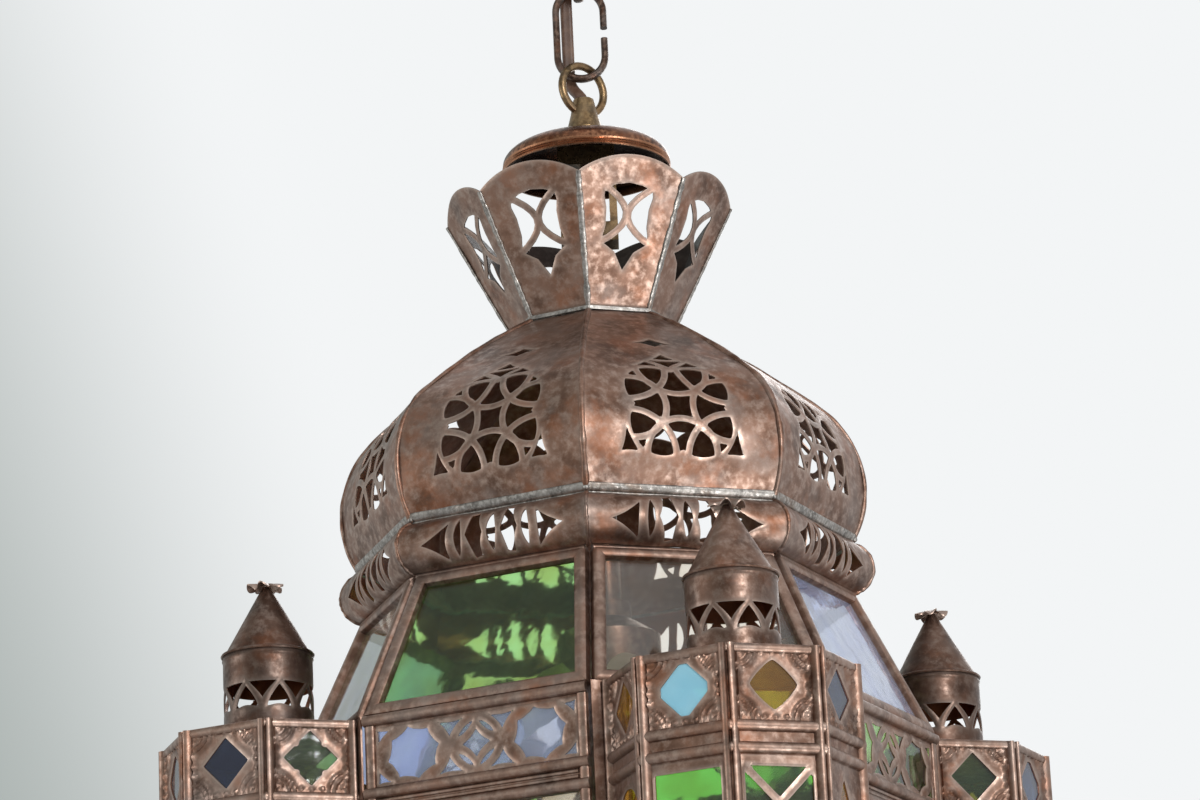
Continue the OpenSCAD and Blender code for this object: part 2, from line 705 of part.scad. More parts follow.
// Roll: a half-round band with a row of diamonds, slits and end triangles
roll_steps = 12;
roll_pitch = 7.5;
module roll_motif() {
    p = roll_pitch;
    h = roll_h * 0.4;
    for (x = [-2 * p, 0, 2 * p]) translate([x, 0])
        polygon([[0, h * 0.66], [p * 0.17, 0], [0, -h * 0.66], [-p * 0.17, 0]]);
    for (x = [-p, p]) translate([x, 0])
        polygon([[0, h], [p * 0.55, 0], [0, -h], [-p * 0.55, 0]]);
    for (s = [-1, 1]) polygon([[s * 2.55 * p, h * 0.6], [s * 3.95 * p, 0],
        [s * 2.55 * p, -h * 0.6]]);
}
module roll(base_r, h, bulge, gap) {
    bent_panel(roll_line(base_r, h, bulge, 0, roll_steps),
        roll_line(base_r, h, bulge, -sheet_t, roll_steps),
        base_r + 2 * bulge, -h - cut, cut, gap);
}
module roll_panels() {
    color("sienna") translate([0, 0, roll_top_z]) for (i = [0:sides - 1]) face(i) difference() {
        roll(seam_r, roll_h, roll_bulge, seam_gap);
        stand((seam_r + 2 * roll_bulge) * face_share, -roll_h / 2)
            plate(2 * roll_bulge) roll_motif();
    }
}

// Sloped panes under the roll, one frame to a face
shoulder_foot_half = body_r * edge_share - mitre_gap;
shoulder_top_half = seam_r * edge_share - mitre_gap;
module on_shoulder() {
    lean_out(body_face_r, body_top_z + seat_gap, -shoulder_lean) children();
}
module shoulder_frames() {
    color("sienna") for (i = [0:sides - 1]) face(i)
        between(body_r, body_top_z + seat_gap, shoulder_top_z) on_shoulder()
            pane_frame(shoulder_foot_half, shoulder_top_half, shoulder_len);
}
module shoulder_pane(i) {
    face(i) on_shoulder() frame_pane(shoulder_foot_half, shoulder_top_half, shoulder_len);
}

// Sloped panes under the body
foot_wide_half = body_r * edge_share - mitre_gap;
foot_small_half = foot_r * edge_share - mitre_gap;
module on_foot() {
    translate([0, -foot_face_r, foot_ring_z + seat_gap]) rotate([90 + foot_lean, 0, 0])
        children();
}
module foot_frames() {
    color("sienna") for (i = [0:sides - 1]) face(i)
        between(body_r, foot_ring_z + seat_gap, foot_top_z) on_foot()
            pane_frame(foot_small_half, foot_wide_half, foot_len);
}
module foot_pane(i) {
    face(i) on_foot() frame_pane(foot_small_half, foot_wide_half, foot_len);
}
foot_bulge = 5;
module foot_ring() {
    color("sienna") translate([0, 0, foot_ring_z]) for (i = [0:sides - 1]) face(i)
        roll(foot_r, foot_ring_h, foot_bulge, seam_gap);
}
module foot_bowl() {
    drop = bowl_h;
    run = foot_r - bowl_foot_r;
    bend = (drop * drop + run * run) / (2 * drop);
    centre = [bowl_foot_r, bend - drop];
    from_angle = 180 - 2 * atan2(drop, run);
    steps = 10;
    color("sienna") translate([0, 0, bowl_top_z]) for (i = [0:sides - 1]) face(i) difference() {
        bent_panel(arc(centre, bend, from_angle, 180, steps),
            arc(centre, bend - sheet_t, from_angle, 180, steps),
            foot_r + cut, -bowl_h - cut, cut, seam_gap);
        translate([0, -(foot_r + bowl_foot_r) / 2 * face_share, -bowl_h - cut])
            rotate([0, 0, 45]) linear_extrude(height = bowl_h)
                square(cell_w / 3, center = true);
    }
}
module foot_finial() {
    neck = finial_ball_r / 2;
    disc_r = bowl_foot_r + 2;
    disc_h = 3;
    ball_z = -disc_h - finial_ball_r;
    color("peru") translate([0, 0, bowl_foot_z - seat_gap]) {
        translate([0, 0, -disc_h]) cylinder(r = disc_r, h = disc_h);
        translate([0, 0, ball_z]) sphere(r = finial_ball_r);
        translate([0, 0, ball_z - finial_ball_r - neck])
            cylinder(r1 = neck / 3, r2 = neck, h = 2 * neck);
    }
}

// Walls: a pierced band, a moulding, a tall pane, a moulding and a pierced band
row_2_h = body_h - 2 * (wall_rail_h + lattice_h + moulding_h);
lattice_z = [wall_rail_h, body_h - wall_rail_h - lattice_h];
window_z = wall_rail_h + lattice_h + moulding_h;
window_half = wall_half_w - rail_w;
module centred(w, h) { translate([-w / 2, 0]) square([w, h]); }
module lattice_motif() {
    w = window_half;
    h = lattice_h;
    big_share = 0.48;
    strap = 2.6;
    for (s = [-1, 1]) translate([s * w * big_share, h / 2]) {
        polygon([[-w * 0.3, 0], [-w * 0.1, -h * 0.26], [0, -h * 0.36], [w * 0.1, -h * 0.26],
            [w * 0.3, 0], [w * 0.1, h * 0.26], [0, h * 0.36], [-w * 0.1, h * 0.26]]);
        for (v = [-1, 1]) for (u = [-1, 1]) polygon([[u * strap, v * h * 0.44],
            [u * w * 0.3, v * h * 0.44], [u * w * 0.3, v * h * 0.14]]);
    }
    translate([0, h / 2]) rotate([0, 0, 45]) square(h * 0.24, center = true);
}
module wall_plate(window) {
    difference() {
        union() {
            plate(frame_t) centred(2 * wall_half_w, body_h);
            for (z = [wall_rail_h + lattice_h + bead_r, window_z - bead_r,
                window_z + row_2_h + bead_r, window_z + row_2_h + moulding_h - bead_r])
                translate([-wall_half_w, z, 0]) rotate([0, 90, 0])
                    cylinder(r = bead_r, h = 2 * wall_half_w);
            for (z = [0, body_h - 2 * bead_r]) translate([-wall_half_w, z, 0])
                cube([2 * wall_half_w, 2 * bead_r, bead_r]);
        }
        for (z = lattice_z) translate([0, z, 0]) {
            translate([0, 0, -skin_t]) plate(frame_t) centred(2 * window_half, lattice_h);
            translate([0, 0, bead_r]) plate(frame_t + 2 * cut) lattice_motif();
        }
        translate([0, window_z, bead_r + cut]) plate(frame_t + bead_r + 2 * cut)
            centred(2 * window, row_2_h);
        translate([0, window_z - rebate_w, glass_t - frame_t]) plate(glass_t + cut)
            centred(2 * (window + rebate_w), row_2_h + 2 * rebate_w);
    }
}
module on_wall(i) { face(i) stand(body_face_r, body_foot_z) children(); }
module wall_front() { color("sienna") on_wall(0) wall_plate(window_half); }
module wall_right() { color("sienna") on_wall(2) wall_plate(window_half); }
module wall_left() { color("sienna") on_wall(6) wall_plate(window_half); }
module lattice_pane(i, row) {
    on_wall(i) translate([0, lattice_z[row] + seat_gap, -skin_t - seat_gap]) plate(glass_t)
        centred(2 * (window_half - seat_gap), lattice_h - 2 * seat_gap);
}
module window_pane(i) {
    edge = rebate_w - seat_gap;
    on_wall(i) translate([0, window_z - edge, glass_t - frame_t]) plate(glass_t)
        centred(2 * (window_half + edge), row_2_h + 2 * edge);
}

// Lamp door in the back wall: its leaf lies in the window on two pinned hinges
door_gap = 0.6;
door_half = window_half - door_gap;
door_h = row_2_h - 2 * door_gap;
hinge_clear = 0.6;
hinge_lift = knuckle_r + hinge_clear;
hinge_x = -window_half + door_gap / 2;
hinge_z = [row_2_h * 0.16, row_2_h * 0.84];
hinge_leaf_w = 5;
hinge_leaf_t = hinge_lift - knuckle_r / 2;
module knuckle(z, h) {
    translate([hinge_x, z, hinge_lift]) rotate([-90, 0, 0]) cylinder(r = knuckle_r, h = h);
}
module knuckle_bore(z, h, gap) {
    translate([hinge_x, z - cut, hinge_lift]) rotate([-90, 0, 0])
        cylinder(r = hinge_pin_r + gap, h = h + 2 * cut);
}
button_x = wall_half_w - rail_w / 2;
button_z = window_z + row_2_h / 2;
button_lift = 0.3;
button_t = 1.4;
button_w = 5;
button_pin_r = 1.5;
button_head_r = 2.4;
button_head_h = 1;
knob_r = 3.2;
knob_neck_r = 1.6;
knob_h = 8;
module door_jamb() {
    color("sienna") on_wall(4) difference() {
        union() {
            wall_plate(window_half);
            for (z = hinge_z) translate([0, window_z, 0]) {
                for (dz = [0, 2 * knuckle_h]) {
                    knuckle(z + dz - 1.5 * knuckle_h, knuckle_h - seam_gap);
                    translate([hinge_x - hinge_leaf_w, z + dz - 1.5 * knuckle_h, 0])
                        cube([hinge_leaf_w, knuckle_h - seam_gap, hinge_leaf_t]);
                }
            }
            translate([button_x, button_z, 0]) {
                cylinder(r = button_pin_r, h = button_lift + button_t + button_head_h);
                translate([0, 0, button_lift + button_t + seat_gap])
                    cylinder(r = button_head_r, h = button_head_h);
            }
        }
        for (z = hinge_z) translate([0, window_z, 0])
            knuckle_bore(z - 1.5 * knuckle_h, 3 * knuckle_h, thread_gap);
    }
}
module door_frame() {
    color("peru") on_wall(4) translate([0, window_z, 0]) difference() {
        union() {
            translate([0, door_gap, 0]) pane_frame(door_half, door_half, door_h);
            for (z = hinge_z) {
                knuckle(z - knuckle_h / 2, knuckle_h - seam_gap);
                translate([hinge_x, z - knuckle_h / 2, 0])
                    cube([hinge_leaf_w, knuckle_h - seam_gap, hinge_leaf_t]);
            }
        }
        for (z = hinge_z) knuckle_bore(z - knuckle_h / 2, knuckle_h, pin_gap);
    }
}
module door_knob() {
    color("peru") on_wall(4)
        translate([door_half - rail_w / 2, window_z + row_2_h / 3, seat_gap]) {
            cylinder(r = knob_neck_r, h = knob_h);
            translate([0, 0, knob_h]) sphere(r = knob_r);
        }
}
module door_pane() {
    color("mediumseagreen", 0.5) on_wall(4) translate([0, window_z + door_gap, 0])
        frame_pane(door_half, door_half, door_h);
}
module door_hinge_pins() {
    color("darkgoldenrod") on_wall(4) for (z = hinge_z)
        translate([hinge_x, window_z + z - 1.5 * knuckle_h, hinge_lift]) rotate([-90, 0, 0])
            cylinder(r = hinge_pin_r, h = 3 * knuckle_h);
}
module door_button() {
    color("darkgoldenrod") on_wall(4) translate([button_x, button_z, button_lift])
        linear_extrude(height = button_t) difference() {
            union() {
                circle(r = button_w * 0.6);
                translate([-button_w / 2, 0]) square([button_w, button_reach]);
                translate([0, button_reach]) circle(r = button_w / 2);
            }
            circle(r = button_pin_r + pin_gap);
        }
}

// Turrets: five faces of an eight-sided column in front of each diagonal face
turret_half = turret_face_r * tan(half_turn);
cell_z = [wall_rail_h + lattice_h - cell_w - bead_r / 2,
    body_h - wall_rail_h - lattice_h + bead_r / 2];
tall_inset = 4;
flange_back_r = body_face_r - sheet_t;
function bay(a, back) = [[-a, -back], [a, -back], [a, -turret_r - a * tan(half_turn)],
    [a * tan(half_turn), -turret_r - a], [-a * tan(half_turn), -turret_r - a],
    [-a, -turret_r - a * tan(half_turn)]];
module bay_ring(outer, inner) {
    difference() {
        polygon(bay(outer, flange_back_r));
        polygon(bay(inner, flange_back_r - cut));
    }
}
module bay_band(z, h, out) {
    translate([0, 0, body_foot_z + z]) linear_extrude(height = h)
        bay_ring(turret_face_r + out, turret_face_r - sheet_t);
}
module at_facet(k) {
    translate([0, -turret_r, body_foot_z]) rotate([0, 0, k * side_turn])
        stand(turret_face_r, 0) children();
}
module cell_cut() {
    r = cell_w * 0.42;
    rotate([0, 0, 45]) square(r * sqrt(2), center = true);
}
module turret_frame(i) {
    flange_w = body_r * edge_share - turret_face_r + sheet_t - seat_gap;
    plate_h = 1.2;
    color("sienna") face(turret_turn_shares[i]) {
        difference() {
            union() {
                bay_band(0, body_h, 0);
                bay_band(0, 2 * bead_r, bead_r / 2);
                bay_band(body_h - 1.6 * bead_r, 1.6 * bead_r, bead_r / 2);
                for (z = [wall_rail_h + lattice_h, window_z - 2 * bead_r,
                    window_z + row_2_h, window_z + row_2_h + moulding_h - 2 * bead_r])
                    bay_band(z, 2 * bead_r, bead_r / 2);
                for (s = [-1, 1]) {
                    for (a = [0.5, 1.5])
                        translate([0, -turret_r, body_foot_z]) rotate([0, 0, s * a * side_turn])
                            translate([0, -turret_face_r / face_share + sheet_t, 0])
                                cylinder(r = bead_r, h = body_h, $fn = sides);
                    translate([s * (turret_face_r - sheet_t + flange_w / 2) - flange_w / 2,
                        -body_face_r, body_foot_z]) cube([flange_w, sheet_t, body_h]);
                }
                for (z = [0, body_h - plate_h]) translate([0, 0, body_foot_z + z])
                    linear_extrude(height = plate_h) polygon(bay(turret_face_r, flange_back_r));
            }
            for (k = [-2:2]) at_facet(k) {
                for (z = cell_z) translate([0, z + cell_w / 2, bead_r])
                    plate(sheet_t + 2 * bead_r) cell_cut();
                translate([0, window_z + tall_inset, bead_r]) plate(sheet_t + 2 * bead_r)
                    centred(2 * (turret_half - bead_r - tall_inset / 2),
                        row_2_h - 2 * tall_inset);
            }
        }
    }
}
module turret_frame_1() { turret_frame(0); }
module turret_frame_2() { turret_frame(1); }
module turret_frame_3() { turret_frame(2); }
module turret_frame_4() { turret_frame(3); }
// Glass behind a cell of a turret: i is the turret, k the face, row 0 the lowest
module turret_pane(i, k, row) {
    edge = cell_w / 2 - seat_gap;
    z = row == 0 ? cell_z[0] + seat_gap : row == 2 ? cell_z[1] + seat_gap : window_z;
    h = row == 1 ? row_2_h : 2 * edge;
    w = row == 1 ? 2 * (turret_half - bead_r - sheet_t) : 2 * edge;
    face(turret_turn_shares[i]) at_facet(k) translate([0, z, -sheet_t - seat_gap])
        plate(glass_t) centred(w, h);
}

// Turret caps: a drum with a ring of slanting straps, a cone and a small flower
cap_clear = 5.5;
cap_axis_r = body_face_r + turret_cap_r + cap_clear;
cap_foot_z = body_top_z + seat_gap;
strap_ring_h = 11.5;
strap_ring_z = turret_cap_h - 8.5 - strap_ring_h;
module at_turret_cap(i) {
    face(turret_turn_shares[i]) translate([0, -cap_axis_r, cap_foot_z]) children();
}
module turret_caps() {
    step = 360 / turret_straps;
    gap_w = 2 * PI * turret_cap_r / turret_straps;
    slot_half = gap_w * 0.3;
    color("sienna") for (i = [0:3]) at_turret_cap(i) difference() {
        cylinder(r = turret_cap_r, h = turret_cap_h);
        translate([0, 0, -cut]) cylinder(r = turret_cap_r - sheet_t, h = turret_cap_h + 2 * cut);
        for (k = [0:turret_straps - 1]) for (s = [0, 1])
            rotate([0, 0, (k + s / 2) * step]) stand(turret_cap_r + cut, strap_ring_z)
                plate(turret_cap_r / 2) polygon([[-slot_half, s * strap_ring_h],
                    [slot_half, s * strap_ring_h], [0, (1 - s) * strap_ring_h]]);
    }
}
cone_shoulder_h = 4;
cone_tip_r = 1.6;
module turret_cones() {
    lip = sheet_t;
    color("sienna") for (i = [0:3]) at_turret_cap(i)
        translate([0, 0, turret_cap_h + seat_gap]) rotate_extrude() polygon([
            [turret_cap_r, 0], [turret_cap_r - lip, cone_shoulder_h],
            [cone_tip_r, turret_cone_h], [0, turret_cone_h], [0, turret_cone_h - 2 * lip],
            [turret_cap_r - 3 * lip, cone_shoulder_h - lip], [turret_cap_r - lip, 0]]);
}
flower_r = 8;
flower_petals = 5;
module turret_flowers() {
    petal = flower_r * 0.36;
    color("chocolate") for (i = [0:3]) at_turret_cap(i)
        translate([0, 0, turret_cap_h + turret_cone_h + 2 * seat_gap])
            linear_extrude(height = sheet_t) {
                circle(r = flower_r / 2);
                for (k = [0:flower_petals - 1]) rotate([0, 0, k * 360 / flower_petals])
                    translate([flower_r - petal, 0]) circle(r = petal);
            }
}
foot_clear = 2.2;
module turret_drops() {
    r = turret_cap_r;
    color("sienna") for (i = [0:3]) face(turret_turn_shares[i])
        translate([0, -body_face_r - r - foot_clear, body_foot_z - seat_gap])
            mirror([0, 0, 1]) {
            cylinder(r1 = r, r2 = r / 4, h = r);
            translate([0, 0, r + r / 4]) sphere(r = r / 3);
        }
}

// Glass by colour, a pane to each opening. A turret's cells, from its lowest row up and
// from its left face round: 0 is green, 1 blue, 2 cyan and 3 amber
cell_glass_shares = [
    [[3, 3, 2, 1, 2], [3, 0, 0, 3, 3], [3, 2, 3, 1, 0]],
    [[3, 3, 2, 1, 2], [3, 0, 3, 0, 3], [0, 1, 2, 3, 1]],
    [[3, 3, 2, 1, 2], [3, 0, 3, 0, 3], [1, 2, 3, 0, 3]],
    [[3, 3, 2, 1, 2], [3, 0, 3, 0, 3], [2, 3, 1, 1, 0]]];
module cell_panes(glass) {
    for (i = [0:3]) for (row = [0:2]) for (k = [-2:2])
        if (cell_glass_shares[i][row][k + 2] == glass) turret_pane(i, k, row);
}
module panes_clear() {
    color("white", 0.4) {
        for (i = turret_turn_shares) shoulder_pane(i);
        for (i = [0, 2, 6]) window_pane(i);
    }
}
module panes_green() {
    color("green", 0.5) {
        for (i = [0, 4]) shoulder_pane(i);
        for (i = [2, 6]) for (row = [0, 1]) lattice_pane(i, row);
        cell_panes(0);
    }
}
module panes_blue() {
    color("navy", 0.5) {
        for (i = turret_turn_shares) foot_pane(i);
        cell_panes(1);
    }
}
module panes_lavender() {
    color("lavender", 0.5) {
        for (i = [2, 6]) shoulder_pane(i);
        for (i = [0, 4]) for (row = [0, 1]) lattice_pane(i, row);
    }
}
module panes_cyan() { color("cyan", 0.5) cell_panes(2); }
module panes_amber() {
    color("orange", 0.5) {
        for (i = [0, 2, 4, 6]) foot_pane(i);
        cell_panes(3);
    }
}

ceiling_crossbar();
ceiling_canopy();
canopy_nipple();
canopy_nut();
canopy_loop();
chain_link_3();
chain_link_2();
chain_link_1();
lamp_cord();
top_loop();
vase_cap();
top_nipple();
hickey();
stem_pipe();
stem_tube();
stem_nuts();
stem_neck();
cluster_cup();
cluster_cover();
lamp_socket_1();
lamp_socket_2();
lamp_socket_3();
lamp_socket_4();
bulb_1();
bulb_2();
bulb_3();
bulb_4();
neck_plate();
crown_panels();
dome_panels();
dome_solder();
roll_panels();
shoulder_frames();
turret_frame_1();
turret_frame_2();
turret_frame_3();
turret_frame_4();
turret_caps();
turret_cones();
turret_flowers();
turret_drops();
wall_front();
wall_right();
wall_left();
door_jamb();
door_frame();
door_knob();
door_pane();
door_hinge_pins();
door_button();
panes_clear();
panes_green();
panes_blue();
panes_lavender();
panes_cyan();
panes_amber();
foot_frames();
foot_ring();
foot_bowl();
foot_finial();
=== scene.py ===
"""The looks of the hanging fanous lantern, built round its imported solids.
Lengths are in mm of the row frame, whose origin is on the ceiling, until piece() makes them metres."""
import json

import bpy
import numpy as np
from mathutils import Matrix, Vector


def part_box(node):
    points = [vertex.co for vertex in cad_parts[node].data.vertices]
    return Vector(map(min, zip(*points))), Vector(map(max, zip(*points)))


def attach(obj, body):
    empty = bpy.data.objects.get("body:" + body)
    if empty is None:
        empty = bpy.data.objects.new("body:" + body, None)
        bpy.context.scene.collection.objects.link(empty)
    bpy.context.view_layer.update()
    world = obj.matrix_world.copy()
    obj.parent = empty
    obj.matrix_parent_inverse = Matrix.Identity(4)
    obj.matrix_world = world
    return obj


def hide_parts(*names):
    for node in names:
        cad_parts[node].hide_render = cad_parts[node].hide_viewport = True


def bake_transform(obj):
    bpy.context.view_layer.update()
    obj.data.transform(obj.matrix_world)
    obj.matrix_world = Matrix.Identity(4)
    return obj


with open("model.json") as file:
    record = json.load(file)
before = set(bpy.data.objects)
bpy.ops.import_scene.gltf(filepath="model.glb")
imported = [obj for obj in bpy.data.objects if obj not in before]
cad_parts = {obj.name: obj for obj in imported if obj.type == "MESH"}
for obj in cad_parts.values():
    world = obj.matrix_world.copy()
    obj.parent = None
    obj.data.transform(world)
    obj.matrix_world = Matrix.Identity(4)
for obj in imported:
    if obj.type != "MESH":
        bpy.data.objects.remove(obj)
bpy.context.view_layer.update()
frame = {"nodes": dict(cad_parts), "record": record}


def span(node, axis=2):
    """The low and high end of a solid's box along an axis, the plumb one if none is named, to
    0.01 mm."""
    return [round(corner[axis] * 1000, 2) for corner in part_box(node)]


# For a corner's radius in an eight-sided part: FACE is the share at a face's middle, EDGE the share
# that is half a face's width, and SLANT that half width's share of the radius at the middle
TAU = 2 * np.pi
EIGHTH = TAU / 8
FACE, EDGE, SLANT = np.cos(EIGHTH / 2), np.sin(EIGHTH / 2), np.tan(EIGHTH / 2)
FACES = range(8)

# Clearance under a seat and the metal's thickness; the chain's turn from the front
SEAT, SHEET, CHAIN_TURN = 0.1, 0.8, np.radians(26)
# Levels, as the solids have them; the crown's corners stand lower than its arches
CAP_RIM, CAP_TOP = span("vase_cap")
CROWN_FOOT, CROWN_TOP = span("crown_panels")[0], -247.45
SEAM_Z, ROLL_TOP = span("dome_panels")[0], span("roll_panels")[1]
BODY_FOOT, BODY_TOP = span("wall_front")
WALL_HIGH = round(BODY_TOP - BODY_FOOT, 2)
RING_FOOT, RING_TOP = span("foot_ring")
BOWL_FOOT = span("foot_bowl")[0]
# Corner radii: the crown's foot and top, the dome's foot, the body, and the foot inside its ring,
# which stands RING_OUT beyond it
NECK_R, CROWN_R, SEAM_R, RING_OUT = 37.4, 64.8, 109.59, 5.0
BODY_R = round(span("shoulder_frames", 0)[1] / FACE, 1)
FOOT_R = round(span("foot_ring", 0)[1] / FACE, 1) - RING_OUT
# A turret's centre and its facets' radius; the axes of its cap and of the drop under it
TURRET_R, FACET_R, CAP_AXIS_R, DROP_AXIS_R = 150.0, 47.1, 155.275, 151.975
FACET_HALF = FACET_R * SLANT
# A face of the body: out from the axis, half its width, and half its window inside the stiles
STILE = 5.5
BODY_FACE, WALL_HALF = BODY_R * FACE, span("wall_front", 0)[1]
WINDOW_HALF = WALL_HALF - STILE
# The turrets stand on every other face; the cap of one, on the face the light falls on, gets the least
# painted shade
TURRETS, LIT_TURRET = (1, 3, 5, 7), 1
# The camera's place and aim, its roll in degrees and its lens, as fitted to the photograph
CAMERA_SPOT, CAMERA_AIM = (829.46, -1710.49, -923.65), (-0.41622, 0.85961, 0.29636)
CAMERA_ROLL, CAMERA_LENS, CAMERA_SENSOR, CAMERA_REACH_M = 2.71, 133.04, 36, 50


def placed(name, data):
    """A new object in the scene, made of a mesh, a lamp or a camera."""
    made = bpy.data.objects.new(name, data)
    bpy.context.scene.collection.objects.link(made)
    return made


# Camera: the photograph's place, aim, roll and lens
def aim_camera():
    """The camera's axes: forward, then right and up turned by the roll about it."""
    forward = np.array(CAMERA_AIM)
    forward /= np.linalg.norm(forward)
    level = np.cross(forward, [0, 0, 1])
    level /= np.linalg.norm(level)
    plumb = np.cross(level, forward)
    roll = np.radians(CAMERA_ROLL)
    lens = bpy.data.cameras.new("photo_camera")
    lens.sensor_width, lens.lens, lens.clip_end = CAMERA_SENSOR, CAMERA_LENS, CAMERA_REACH_M
    camera = placed("photo_camera", lens)
    turn = np.eye(4)
    turn[:3, 0] = level * np.cos(roll) - plumb * np.sin(roll)
    turn[:3, 1] = level * np.sin(roll) + plumb * np.cos(roll)
    turn[:3, 2], turn[:3, 3] = -forward, np.array(CAMERA_SPOT) / 1000
    camera.matrix_world = Matrix(turn.tolist())
    bpy.context.scene.camera = camera


aim_camera()


# Materials
def linear(code):
    """An sRGB hex colour as linear red, green, blue and a full alpha."""
    c = np.array([int(code[k:k + 2], 16) for k in (1, 3, 5)]) / 255
    c = np.where(c <= 0.04045, c / 12.92, ((c + 0.055) / 1.055) ** 2.4)
    return (*c.tolist(), 1.0)


def add(tree, kind, inputs=None, **settings):
    """Adds one node; inputs gives each socket a value, a hex colour or another node's output."""
    node = tree.nodes.new(kind)
    for name, value in settings.items():
        setattr(node, name, value)
    for socket, value in (inputs or {}).items():
        if isinstance(value, bpy.types.NodeSocket):
            tree.links.new(value, node.inputs[socket])
        else:
            node.inputs[socket].default_value = linear(value) if isinstance(value, str) else value
    return node


def patches(tree, place, size_mm, detail, low, high, roughness=0.5):
    """Soft patches about size_mm wide: a noise whose values from low to high rise from 0 to 1."""
    noise = add(tree, "ShaderNodeTexNoise", {"Vector": place, "Scale": 1000 / size_mm,
        "Detail": detail, "Roughness": roughness})
    return add(tree, "ShaderNodeMapRange", {"Value": noise.outputs["Fac"], "From Min": low,
        "From Max": high}, interpolation_type="SMOOTHSTEP").outputs["Result"]


def new_material(name):
    """An empty material, its node tree and a point's place on its object, in metres."""
    material = bpy.data.materials.new(name)
    material.use_nodes = True
    material.node_tree.nodes.clear()
    place = add(material.node_tree, "ShaderNodeTexCoord").outputs["Object"]
    return material, material.node_tree, place


def surface(tree, height, strength, deep_mm, inputs):
    """Closes a material: its relief, deep_mm for a height of 1, under the surface's inputs."""
    relief = add(tree, "ShaderNodeBump", {"Height": height, "Strength": strength,
        "Distance": deep_mm / 1000}).outputs["Normal"]
    shader = add(tree, "ShaderNodeBsdfPrincipled", {**inputs, "Normal": relief})
    add(tree, "ShaderNodeOutputMaterial", {"Surface": shader.outputs["BSDF"]})


def aged_metal(name, dark, middle, pale, rust, film, film_share=0.4, metallic=0.85,
               rough=(0.27, 0.46), dent_mm=0.3, patch_mm=16.0, rust_share=0.3, pale_share=0.5):
    """Hand-worked metal that has aged: an oxide mottled in three tones, rust-orange and dull grey
    films in patches, edges rubbed paler where "wear" rises, a warm unpolished inside where "inner"
    rises, and a near-black painted shade, with some soot, where it is below zero, and soft dents under
    a fine grit."""
    material, tree, place = new_material(name)
    share = {}
    for key, size_mm, detail, low, high in (
            ("large", patch_mm, 5, 0.3, 0.6), ("small", patch_mm / 4, 4, 0.42, 0.74),
            ("specks", patch_mm / 18, 3, 0.54, 0.78), ("rust", patch_mm * 1.2, 6, 0.5, 0.72),
            ("film", patch_mm * 1.7, 5, 0.46, 0.66)):
        share[key] = patches(tree, place, size_mm, detail, low, high, roughness=0.63)
    for key in ("wear", "inner"):
        share[key] = add(tree, "ShaderNodeAttribute", attribute_name=key).outputs["Fac"]
    # Where "inner" falls below zero the colour goes towards near black: painted shade, with some soot
    share["shade_and_soot"] = add(tree, "ShaderNodeMapRange", {"Value": share["inner"], "From Min": 0.0,
        "From Max": -1.0}).outputs["Result"]
    colour = dark
    # The last tone, #17110f, is the painted shade
    for key, most, tone in (("large", 1.0, middle), ("small", pale_share, pale),
                            ("film", film_share, film), ("rust", rust_share, rust),
                            ("specks", 0.18, dark), ("wear", 0.5, pale), ("inner", 0.8, rust),
                            ("shade_and_soot", 0.9, "#17110f")):
        part = add(tree, "ShaderNodeMath", {0: share[key], 1: most}, operation="MULTIPLY")
        colour = add(tree, "ShaderNodeMix", {0: part.outputs[0], 6: colour, 7: tone},
            data_type="RGBA").outputs[2]
    gloss = add(tree, "ShaderNodeMapRange", {"Value": share["small"], "To Min": rough[1],
        "To Max": rough[0]}).outputs["Result"]
    dents = add(tree, "ShaderNodeTexNoise", {"Vector": place, "Scale": 1000 / (patch_mm * 0.8),
        "Detail": 4, "Roughness": 0.55})
    # The oxide's grit, about 0.1 mm in truth, is drawn 0.7 mm wide so that it shows
    grit = add(tree, "ShaderNodeTexNoise", {"Vector": place, "Scale": 1000 / 0.7, "Detail": 3})
    height = add(tree, "ShaderNodeMath", {0: grit.outputs["Fac"], 1: 0.06,
        2: dents.outputs["Fac"]}, operation="MULTIPLY_ADD").outputs[0]
    surface(tree, height, 0.7, dent_mm, {"Base Color": colour, "Metallic": metallic,
        "Roughness": gloss})
    return material


def tinted_glass(name, tint, deep, clear=0.75, rough=0.04, wave_mm=14.0, wave=0.5):
    """Hand-drawn sheet glass, coloured through and a little milky: its surface is gently wavy and
    its tint uneven. clear is the share of light that goes straight through."""
    material, tree, place = new_material(name)
    uneven = patches(tree, place, 22, 2, 0.35, 0.7)
    colour = add(tree, "ShaderNodeMix", {0: uneven, 6: tint, 7: deep}, data_type="RGBA")
    waves = add(tree, "ShaderNodeTexNoise", {"Vector": place, "Scale": 1000 / wave_mm,
        "Detail": 1.5})
    surface(tree, waves.outputs["Fac"], wave, 0.6, {"Base Color": colour.outputs[2],
        "Roughness": rough, "Transmission Weight": clear, "IOR": 1.5})
    return material


def smooth_finish(name, code, handled, rough, patch_mm, pit_mm=0.03, clear=0.0):
    """A moulded, glazed or blown surface: soft patches take a handled colour and a duller gloss, over
    pits a tenth of a patch wide."""
    material, tree, place = new_material(name)
    share = patches(tree, place, patch_mm, 4, 0.35, 0.7)
    colour = add(tree, "ShaderNodeMix", {0: share, 6: code, 7: handled}, data_type="RGBA")
    gloss = add(tree, "ShaderNodeMapRange", {"Value": share, "To Min": rough,
        "To Max": rough + 0.12})
    pits = add(tree, "ShaderNodeTexNoise", {"Vector": place, "Scale": 10000 / patch_mm})
    surface(tree, pits.outputs["Fac"], 0.4, pit_mm, {"Base Color": colour.outputs[2],
        "Roughness": gloss.outputs["Result"], "Transmission Weight": clear})
    return material


